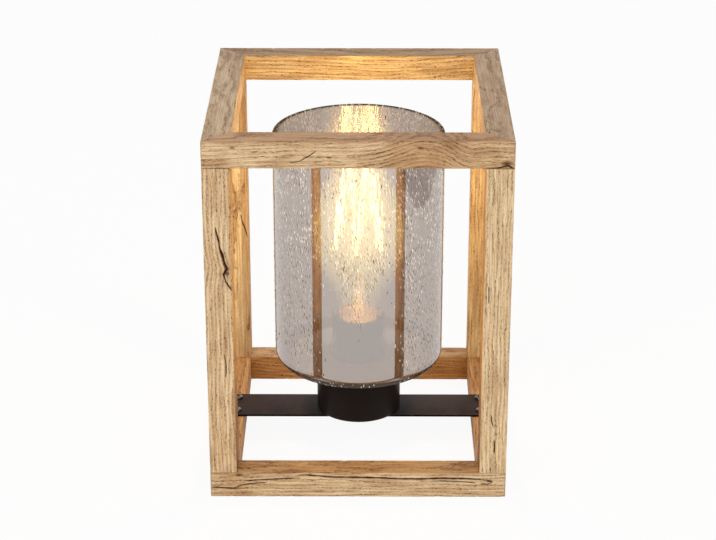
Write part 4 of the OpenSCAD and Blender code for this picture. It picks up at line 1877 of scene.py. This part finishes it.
@dataclass(frozen=True)
class Lampholder:
    """Lower shell, sleeve, core, screw shell, contact and terminals."""

    d: float = 37
    base_z: float = 36
    base_h: float = 20
    sleeve_z: float = 56
    sleeve_h: float = 36
    mouth_d: float = 31
    wall: float = 1.8
    fit: float = 0.05
    ledge: float = 2.4
    core_drop: float = 2
    boss_h: float = 6
    boss_r: float = 8.2
    bore_r: float = 5.05
    shell_z: float = 62
    shell_h: float = 23
    shell_r: float = 13.4
    shell_t: float = 0.5
    shell_foot_r: float = 7
    shell_roll: float = 0.8
    shell_step: float = 0.4
    shoulder: float = 6
    rim_edge: float = 0.3
    mouth_lip: float = 3
    mouth_edge: float = 0.8

    @property
    def core_r(self) -> float:
        """Radius of the insulating core."""
        return self.d / 2 - self.wall - self.fit

    def base(self) -> Mesh:
        """The lower shell: boss, shoulder and wall.

        Returns:
            The mesh, in metres.
        """
        r, round_r, half = self.d / 2, self.shoulder, self.boss_h / 2
        in_r, seat = self.core_r - self.ledge, self.base_h - self.core_drop
        profile = [(self.bore_r, 0), (self.boss_r, 0), (self.boss_r, half)]
        profile += arc((r - round_r, half + round_r), round_r, 270, 360, 10)
        profile += [(r, self.base_h - self.rim_edge), (r - self.rim_edge, self.base_h)]
        profile += [(self.core_r + self.fit, self.base_h), (self.core_r + self.fit, seat)]
        profile += [(in_r, seat)]
        profile += arc((r - round_r, half + round_r), round_r - (r - in_r), 360, 270, 8)
        profile += [(self.boss_r, self.boss_h), (self.bore_r, self.boss_h)]
        return to_mesh(lift(spun(profile, 144), self.base_z), "holder_base")

    def sleeve(self) -> Mesh:
        """The upper sleeve, with a thick round mouth whose bore carries a painted glow of the
        bulb's light.

        Returns:
            The mesh, in metres.
        """
        r, mouth, bore, soft = self.d / 2, self.mouth_d / 2, self.core_r + self.fit, self.mouth_edge
        lip = self.sleeve_h - self.mouth_lip
        profile = [(bore, 0), (r - self.rim_edge, 0), (r, self.rim_edge)]
        profile += arc((r - soft, self.sleeve_h - soft), soft, 0, 90, 8)
        profile += arc((mouth + soft, self.sleeve_h - soft), soft, 90, 180, 8)
        profile += [(mouth, lip), (bore, lip - (bore - mouth))]
        bm = spun(profile, 176)
        # Marks where the painted glow lies inside the mouth.
        glow = bm.verts.layers.float.new("bore")
        for v in bm.verts:
            inner = math.hypot(v.co.x, v.co.y) < mouth + soft / 2
            v[glow] = 1.0 if inner and v.co.z > lip - 1 else 0.0
        return to_mesh(lift(bm, self.sleeve_z), "holder_sleeve")

    def shell(self, thread: Thread) -> Mesh:
        """The screw shell with its pressed thread.

        Args:
            thread: The thread.

        Returns:
            The mesh, in metres.
        """
        z, top = self.shell_z, self.shell_z + self.shell_h
        roll, step = self.shell_roll, self.shell_step
        r, out, floor = self.shell_r, self.shell_r + self.shell_t, self.shell_z + self.shell_t
        profile = [(self.shell_foot_r, z), (out, z), *upright(out, z, top - roll, step)]
        profile += [(out + roll, top), (r + roll, top), (r, top - roll)]
        profile += [*upright(r, top - roll, floor, step), (self.shell_foot_r, floor)]
        bm = spun(profile, 96)
        thread.cut(bm, floor, top - roll, r - 1)
        return to_mesh(bm, "screw_shell", 60)

    def build(self, thread: Thread) -> None:
        """Builds the pieces of the lampholder and dresses them.

        Args:
            thread: The thread of the screw shell.
        """
        plastic = Coated(srgb(30, 28, 28), srgb(42, 39, 38), roughness=0.5)
        metal = BareMetal(srgb(96, 92, 89), srgb(78, 74, 71), 0.3)
        brass = BareMetal(srgb(206, 168, 88), srgb(160, 122, 60), 0.3).material("contact_brass")
        ceramic = Coated(srgb(228, 224, 215), srgb(208, 202, 190), roughness=0.3)
        lower, upper = plastic.material("holder_plastic"), metal.material("sleeve_metal")
        piece(self.base(), "holder_lower_shell", lower, "lamp", "holder_plastic", "lampholder_base")
        piece(self.sleeve(), "holder_sleeve", upper, "lamp", "sleeve_metal", "lampholder_sleeve")
        piece(self.shell(thread), "threaded_shell", brass, "lamp", "contact_brass", "screw_shell")
        dress("lampholder_core", ceramic.material("core_ceramic"))
        dress("centre_contact", brass)
        dress("terminal_screws", brass)


# ---- glass ----


@dataclass(frozen=True)
class GlassShade:
    """The open-topped half-mirrored cylinder, with seeds in its wall."""

    d: float = 118
    h: float = 170
    t: float = 3
    base_t: float = 4
    corner: float = 10
    z: float = 58
    hole_r: float = 20
    hole_edge: float = 0.6
    ring_step: float = 12
    seeds: int = 1500
    # foot_z and rim_dark: how far the painted shade reaches up the foot and down from the rim.
    foot_z: float = 7.4
    rim_dark: float = 1.3
    calm_half: float = 22
    calm_top: float = 72
    calm_share: float = 0.95
    dull_share: float = 0.25
    outside_share: float = 0.75
    seed_depth: float = 0.13
    draw: int = 7

    def shell(self) -> Mesh:
        """The cylinder with a fire-polished rim and a hole in its base.

        Returns:
            The mesh, in metres.
        """
        r, edge, inner = self.d / 2, self.t / 2, self.corner - self.t
        hole, soft = self.hole_r, self.hole_edge
        profile = [(hole, soft), (hole + soft, 0)]
        profile += arc((r - self.corner, self.corner), self.corner, 270, 360, 20)
        profile += upright(r, self.corner, self.h - edge, self.ring_step)
        profile += arc((r - edge, self.h - edge), edge, 0, 180, 14)[1:]
        profile += upright(r - self.t, self.h - edge, self.base_t + inner, self.ring_step)
        profile += arc((r - self.corner, self.base_t + inner), inner, 360, 270, 16)[1:]
        profile += [(hole + soft, self.base_t), (hole, self.base_t - soft)]
        bm = spun(profile, 192)
        self.mark_coat(bm)
        return to_mesh(lift(bm, self.z), "glass")

    def mark_coat(self, bm: Shape) -> None:
        """Writes where the half-mirror lies, and where painted shade darkens the foot and rim of
        the wall.

        Args:
            bm: The cylinder, which stands on the origin.
        """
        mirror = bm.verts.layers.float.new("mirror")
        foot = bm.verts.layers.float.new("foot")
        r, wall = self.d / 2, self.d / 2 - self.corner
        for v in bm.verts:
            radius, z = math.hypot(v.co.x, v.co.y), v.co.z
            outside = radius > r - 0.4 or (z < self.corner and radius > wall)
            inside = math.hypot(radius - wall, z - self.corner) < self.corner - 0.5
            v[mirror] = 1.0 if outside and not inside and z < self.h - 0.3 else 0.0
            v[foot] = clamp(max(v[mirror] * (self.foot_z - z), z - self.h + self.rim_dark))

    def seed_mesh(self) -> Mesh:
        """Small air bubbles, drawn long, that break the two skins of the wall.

        Returns:
            The mesh, in metres.
        """
        rng = random.Random(self.draw)
        made = []
        while len(made) < self.seeds:
            place, angle = rng.uniform(self.corner + 1, self.h - 4), rng.uniform(0, 360)
            across = abs(self.d / 2 * math.cos(math.radians(angle)))
            calm = across < self.calm_half and place < self.calm_top
            if calm and rng.random() < self.calm_share:
                continue
            bubble = bmesh.new()
            bmesh.ops.create_uvsphere(bubble, u_segments=7, v_segments=5, radius=1)
            dull = bubble.verts.layers.float.new("dull")
            shade = 1.0 if rng.random() < self.dull_share else rng.uniform(0, 0.4)
            for v in bubble.verts:
                v[dull] = shade
            wide = rng.uniform(0.16, 0.38)
            size = (self.seed_depth, wide, wide * rng.uniform(2.2, 5))
            bmesh.ops.scale(bubble, verts=bubble.verts, vec=size)
            turn(bubble, rng.uniform(-6, 16), "X")
            skin = self.d / 2 if rng.random() < self.outside_share else self.d / 2 - self.t
            bmesh.ops.translate(bubble, verts=bubble.verts, vec=(skin, 0, place))
            made.append(turn(bubble, angle, "Z"))
        return to_mesh(lift(joined(made), self.z), "seeds", 80)

    def build(self) -> None:
        """Builds the glass and its seeds and dresses them."""
        glass = SmokedGlass(
            tint=(0.43, 0.405, 0.4, 1), mirror=(0.95, 0.885, 0.845, 1), mirrored=0.36
        ).material("smoked_glass")
        air = SeedSkin().material("seed_skin")
        piece(self.shell(), "seeded_cylinder", glass, "glass", "smoked_glass", "glass_shade")
        piece(self.seed_mesh(), "glass_seeds", air, "glass", "smoked_glass")


# ---- bulb ----


@dataclass(frozen=True)
class Bulb:
    """A long-filament bulb, measured from its contact."""

    d: float = 64
    length: float = 148
    belly_z: float = 82
    t: float = 0.9
    cap_d: float = 26.2
    cap_l: float = 26
    cap_t: float = 0.4
    cap_foot: float = 2.2
    z: float = 64.4
    tip_r: float = 4.6
    tip_h: float = 1.4
    insulator_h: float = 5
    hooks: int = 6
    filament_d: float = 0.7
    hook_d: float = 0.6
    hook_top_r: float = 10
    hook_low_r: float = 18
    stem_r: float = 4.2
    rod_r: float = 1.1
    button_r: float = 2
    hook_turn: float = 25
    lead_turn: float = 10
    loop_gap: float = 0.15
    wall_step: float = 0.4
    fit: float = 0.05

    @property
    def stem_base(self) -> float:
        """Height of the foot of the stem's tube."""
        return self.cap_l + 5

    @property
    def press_z(self) -> float:
        """Height of the top of the glass press."""
        return self.stem_base + 24

    @property
    def hook_low_z(self) -> float:
        """Height of the lower hooks."""
        return self.press_z + 25

    @property
    def hook_top_z(self) -> float:
        """Height of the upper hooks."""
        return self.length - 8

    @property
    def neck_r(self) -> float:
        """Outer radius of the neck, which sits in the cap."""
        return self.cap_d / 2 - self.cap_t - self.fit

    def outline(self, inset: float) -> list[Point]:
        """The outline of the glass from the neck to the top.

        Args:
            inset: How far it is set in.

        Returns:
            The points.
        """
        belly, top = (self.d / 2 - inset, self.belly_z), (0, self.length - inset)
        neck, collar = (self.neck_r - inset, self.cap_l - 10), (self.neck_r - inset, self.cap_l)
        low, high = self.belly_z - self.cap_l, self.length - self.belly_z
        up = (collar[0], collar[1] + low * 0.42), (belly[0], belly[1] - low * 0.42)
        over = (belly[0], belly[1] + high * 0.4), (belly[0] * 0.62, top[1])
        return [neck, collar, *curve(collar, *up, belly, 36), *curve(belly, *over, top, 36)]

    def envelope(self) -> Mesh:
        """The glass of the bulb, with a real wall."""
        profile = self.outline(0) + self.outline(self.t)[::-1]
        return to_mesh(lift(spun(profile, 128), self.z), "envelope", 60)

    def stem(self) -> Mesh:
        """The stem: flare, tube, press and rod with its button.

        Returns:
            The mesh, in metres.
        """
        flare_r, flare_z = self.neck_r - self.t - self.fit, self.stem_base - 7
        r, rod, foot, top = self.stem_r, self.rod_r, self.stem_base, self.hook_top_z
        tube_r, press_low, press = r - 1, self.press_z - 4, self.press_z
        flare, flare_in = (flare_r, flare_z), (flare_r - 1, flare_z)
        profile = [flare, *curve(flare, (r + 1, flare_z + 1), (r, foot), (r, foot + 4), 12)]
        profile += [(r, press_low)]
        profile += curve((r, press_low), (r, press), (rod, press - 1), (rod, press + 4), 10)
        profile += [(rod, top - 1.7), *arc((0, top), self.button_r, -57, 90, 12)[:-1]]
        profile += [(0, top + self.button_r), (0, press_low - 4), (tube_r, press_low - 6)]
        profile += [(tube_r, foot + 4)]
        profile += curve((tube_r, foot + 4), (tube_r, foot), (r, flare_z + 1), flare_in, 12)
        return to_mesh(lift(spun(profile, 48), self.z), "stem")

    def cap(self, thread: Thread) -> Mesh:
        """The metal cap with its pressed thread.

        Args:
            thread: The thread.

        Returns:
            The mesh, in metres.
        """
        r, low, step = self.cap_d / 2, self.insulator_h, self.wall_step
        foot, start = r - self.cap_foot + self.fit, low + 1.6
        profile = [(foot, low), (r - 0.8, low), (r, start), *upright(r, start, self.cap_l, step)]
        profile += [(r - self.cap_t, self.cap_l)]
        profile += upright(r - self.cap_t, self.cap_l, low + 1.9, step)
        profile += [(r - 1.1, low + self.cap_t), (foot, low + self.cap_t)]
        bm = lift(spun(profile, 96), self.z)
        thread.cut(bm, self.z + start, self.z + self.cap_l - 4, r - 1.2)
        return to_mesh(bm, "cap", 60)

    def tip(self) -> Mesh:
        """The soldered contact."""
        r, h = self.tip_r, self.tip_h
        profile = [(0, 0), *curve((0, 0), (r / 2, 0), (r, h / 3), (r, h), 10), (0, h)]
        return to_mesh(lift(spun(profile, 40), self.z), "tip")

    def insulator(self) -> Mesh:
        """The black glass between the contact and the cap.

        Returns:
            The mesh, in metres.
        """
        top_r, low, high = self.cap_d / 2 - self.cap_foot, self.tip_h + self.fit, self.insulator_h
        profile = [(0, low), (self.tip_r + 0.4, low), (top_r, high)]
        profile += [(top_r, high + 1.5), (0, high + 1.5)]
        return to_mesh(lift(spun(profile, 48), self.z), "insulator")

    def on_ring(self, radius: float, angle: float, z: float) -> Vector:
        """A point at a radius, an angle in degrees and a height over the contact."""
        a = math.radians(angle)
        return Vector((radius * math.cos(a), radius * math.sin(a), self.z + z))

    def low_angle(self, number: int) -> float:
        """Angle of a lower hook."""
        return self.hook_turn + 360 / self.hooks * number

    def top_angle(self, number: int) -> float:
        """Angle of an upper hook, which stands between two lower ones."""
        return self.hook_turn + 360 / self.hooks * (number + 0.5)

    def hook(
        self, ring_r: float, z: float, root_r: float, root_z: float, angle: float
    ) -> list[Vector]:
        """One hook: from the stem out, past the filament and up its end.

        Args:
            ring_r: Radius of the ring of hooks.
            z: Height of the ring over the contact.
            root_r: Radius of its root in the stem.
            root_z: Height of its root.
            angle: Its angle, in degrees.

        Returns:
            The points of the wire.
        """
        return [
            self.on_ring(root_r, angle, root_z),
            self.on_ring((root_r + ring_r) / 2, angle, root_z * 0.35 + z * 0.65),
            self.on_ring(ring_r - 1.5, angle, z),
            self.on_ring(ring_r + 1.2, angle, z),
        ]

    def hairpin(self, radius: float, angle: float, z: float, side: int) -> list[Vector]:
        """Half a turn of filament round a hook.

        Args:
            radius: Radius of the ring of hooks.
            angle: Angle of the hook, in degrees.
            z: Height of the ring over the contact.
            side: 1 to pass over the hook, -1 to pass under it.

        Returns:
            The points of the wire.
        """
        a = math.radians(angle)
        loop_r = (self.hook_d + self.filament_d) / 2 + self.loop_gap
        points = []
        for i in range(5):
            t = math.radians(180 - 45 * i)
            out = math.cos(t)
            way = Vector((-math.sin(a) * out, math.cos(a) * out, side * math.sin(t)))
            points.append(self.on_ring(radius, angle, z) + loop_r * way)
        return points

    def lead_top(self, way: int) -> Vector:
        """Foot of the filament on one lead."""
        angle = self.low_angle(0) + way * self.lead_turn
        return self.on_ring(self.hook_low_r, angle, self.hook_low_z)

    def filament(self) -> Mesh:
        """One unbroken wire over every upper hook and under every lower one.

        Returns:
            The mesh, in metres.
        """
        path = [self.lead_top(1)]
        for i in range(self.hooks):
            path += self.hairpin(self.hook_top_r, self.top_angle(i), self.hook_top_z, 1)
            if i < self.hooks - 1:
                path += self.hairpin(self.hook_low_r, self.low_angle(i + 1), self.hook_low_z, -1)
        path.append(self.lead_top(-1))
        return wires([path], self.filament_d, "filament_wire")

    def upper_hooks(self) -> Mesh:
        """The hooks in the button."""
        r, z, root = self.hook_top_r, self.hook_top_z, self.button_r + 0.1
        paths = [self.hook(r, z, root, z, self.top_angle(i)) for i in range(self.hooks)]
        return wires(paths, self.hook_d, "upper_hook_wires")

    def lower_hooks(self) -> Mesh:
        """The hooks in the press.

        Returns:
            The mesh, in metres.
        """
        r, z, root, root_z = self.hook_low_r, self.hook_low_z, self.stem_r + 0.5, self.press_z - 5
        angles = [self.low_angle(i) for i in range(1, self.hooks)]
        paths = [self.hook(r, z, root, root_z, angle) for angle in angles]
        return wires(paths, self.hook_d, "lower_hook_wires")

    def leads(self) -> Mesh:
        """The two leads of the filament.

        Returns:
            The mesh, in metres.
        """
        root_z = self.press_z - 8
        paths = []
        for way in (-1, 1):
            angle = self.low_angle(0) + way * self.lead_turn
            root = self.on_ring(self.stem_r + 0.5, angle, root_z)
            bend = self.on_ring(self.hook_low_r * 0.55, angle, root_z + 6)
            rise = self.on_ring(self.hook_low_r, angle, self.hook_low_z - 5)
            paths.append([root, bend, rise, self.lead_top(way)])
        return wires(paths, self.hook_d, "lead_wires")

    def build(self, thread: Thread) -> None:
        """Builds the pieces of the bulb and dresses them.

        Args:
            thread: The thread of the cap.
        """
        # The glass of the bulb and of the stem carries a painted glow of the filament's light.
        clear = LampGlass(
            (1.0, 0.81, 0.32, 1), 0.7, glow_z=0.17, spread=0.042, edge=2.1
        ).material("bulb_glass")
        warm = LampGlass(
            (1.0, 0.54, 0.08, 1), 0.34, glow_z=0.1, spread=0.04, edge=1.0, neck_z=0.0
        ).material("stem_glass")
        solder = BareMetal(srgb(168, 168, 166), srgb(130, 128, 124), 0.4).material("solder")
        plate = BareMetal(srgb(196, 194, 188), srgb(160, 156, 148), 0.25).material("cap_metal")
        vitrite = Coated(srgb(22, 22, 26), srgb(32, 32, 36), roughness=0.12)
        black = vitrite.material("cap_insulator")
        wire = BareMetal(srgb(170, 166, 160), srgb(140, 134, 126), 0.35).material("hook_wire")
        hot = HotFilament().material("glowing_filament")
        piece(self.tip(), "solder_contact", solder, "tip", "solder_tip", "bulb_tip")
        piece(self.insulator(), "cap_black_glass", black, "bulb", "cap_insulator", "bulb_insulator")
        piece(self.cap(thread), "threaded_cap", plate, "bulb", "cap_metal", "bulb_cap")
        piece(self.envelope(), "bulb_glass", clear, "bulb", "clear_glass", "bulb_envelope")
        piece(self.stem(), "stem_glass", warm, "bulb", "clear_glass", "bulb_stem")
        piece(self.upper_hooks(), "hook_crown", wire, "bulb", "hook_wire", "filament_hooks_upper")
        piece(self.lower_hooks(), "hook_ring", wire, "bulb", "hook_wire", "filament_hooks_lower")
        piece(self.leads(), "lead_pair", wire, "bulb", "hook_wire", "bulb_leads")
        glow = piece(self.filament(), "filament_loops", hot, "bulb", "glowing_filament", "filament")
        glow.visible_diffuse = False


# ---- studio ----


@dataclass(frozen=True)
class Softbox:
    """A square lamp: its name, its place and side in metres, its power in watts."""

    name: str
    place: Triple
    size: float
    power: float


@dataclass(frozen=True)
class Studio:
    """Pale floor, soft light and the camera at the photograph's angle."""

    softboxes: tuple[Softbox, ...] = (
        Softbox("key", (-1.1, -1.7, 1.5), 1.4, 16),
        Softbox("fill", (1.5, -1.2, 0.9), 1.4, 7),
    )
    aim: Triple = (0, 0, 0.13)
    floor_size: float = 12.0
    floor_colour: Colour = (0.86, 0.86, 0.86, 1)
    floor_white: float = 0.92
    floor_drop: float = 0.0002
    camera_place: Triple = (0.00596, -1.36644, 0.70838)
    camera_drop: float = 0.4035
    camera_yaw: float = 0.0047
    focal_px: float = 2123.46
    frame_px: float = 716
    sensor: float = 36
    sky: float = 0.72
    bulb_z: float = 0.168
    bulb_colour: Triple = (1.0, 0.7, 0.22)
    bulb_power: float = 1.7
    bulb_size: float = 0.012

    def floor(self) -> None:
        """A pale floor that shows near-white and keeps a soft shadow."""
        bm = bmesh.new()
        bmesh.ops.create_grid(bm, x_segments=1, y_segments=1, size=self.floor_size / 2)
        mesh = bpy.data.meshes.new("floor")
        bm.to_mesh(mesh)
        bm.free()
        material = bpy.data.materials.new("pale_floor")
        tree = Tree(material)
        matte = tree.principled(Base_Color=self.floor_colour, Roughness=0.9, Specular_IOR_Level=0.0)
        white = tree.node("ShaderNodeEmission", None, {"Color": WHITE, "Strength": 1.0})
        seen = tree.ray("Camera", "Glossy", "Transmission") * self.floor_white
        tree.show(tree.blend(seen, matte, white))
        mesh.materials.append(material)
        obj = placed("floor", mesh)
        obj.location.z = -self.floor_drop

    def world(self) -> None:
        """A white surround, brighter to the eye than as a light."""
        world = bpy.data.worlds.new("studio")
        bpy.context.scene.world = world
        tree = Tree(world)
        lit, seen = (
            tree.node("ShaderNodeBackground", None, {"Color": WHITE, "Strength": strength})
            for strength in (self.sky, 1.0)
        )
        shader = tree.blend(tree.ray("Camera", "Glossy", "Transmission"), lit, seen)
        tree.show(shader, "ShaderNodeOutputWorld")

    def hang(self, box: Softbox) -> None:
        """Hangs a softbox that faces the middle of the lamp.

        Args:
            box: The softbox.
        """
        data = bpy.data.lights.new(box.name, "AREA")
        data.size = box.size
        data.energy = box.power
        obj = placed(box.name, data)
        obj.location = box.place
        aim = Vector(self.aim) - Vector(box.place)
        obj.rotation_euler = aim.to_track_quat("-Z", "Y").to_euler()
        obj.visible_glossy = False
        obj.visible_transmission = False

    def bulb_light(self) -> None:
        """The warm light that the filament throws."""
        data = bpy.data.lights.new("filament_light", "POINT")
        data.color = self.bulb_colour
        data.energy = self.bulb_power
        data.shadow_soft_size = self.bulb_size
        obj = placed("filament_light", data)
        obj.location = (0, 0, self.bulb_z)
        obj.visible_camera = False
        obj.visible_glossy = False
        obj.visible_transmission = False

    def camera(self) -> None:
        """The camera of the photograph."""
        data = bpy.data.cameras.new("camera")
        data.sensor_width = self.sensor
        data.lens = self.focal_px * self.sensor / self.frame_px
        data.clip_start = 0.01
        obj = placed("camera", data)
        obj.location = self.camera_place
        obj.rotation_euler = (math.pi / 2 - self.camera_drop, 0, self.camera_yaw)
        bpy.context.scene.camera = obj

    def build(self) -> None:
        """Builds the studio."""
        self.floor()
        self.world()
        for box in self.softboxes:
            self.hang(box)
        self.bulb_light()
        self.camera()
        bpy.context.scene.view_settings.view_transform = "Standard"


def main() -> None:
    """Builds the lamp and its studio."""
    logging.basicConfig(level=logging.INFO, format="%(message)s")
    Studio().build()
    thread = Thread()
    OakFrame().build()
    Crossbar().build()
    HolderCup().build()
    Lampholder().build(thread)
    GlassShade().build()
    Bulb().build(thread)


if __name__ == "__main__":
    main()
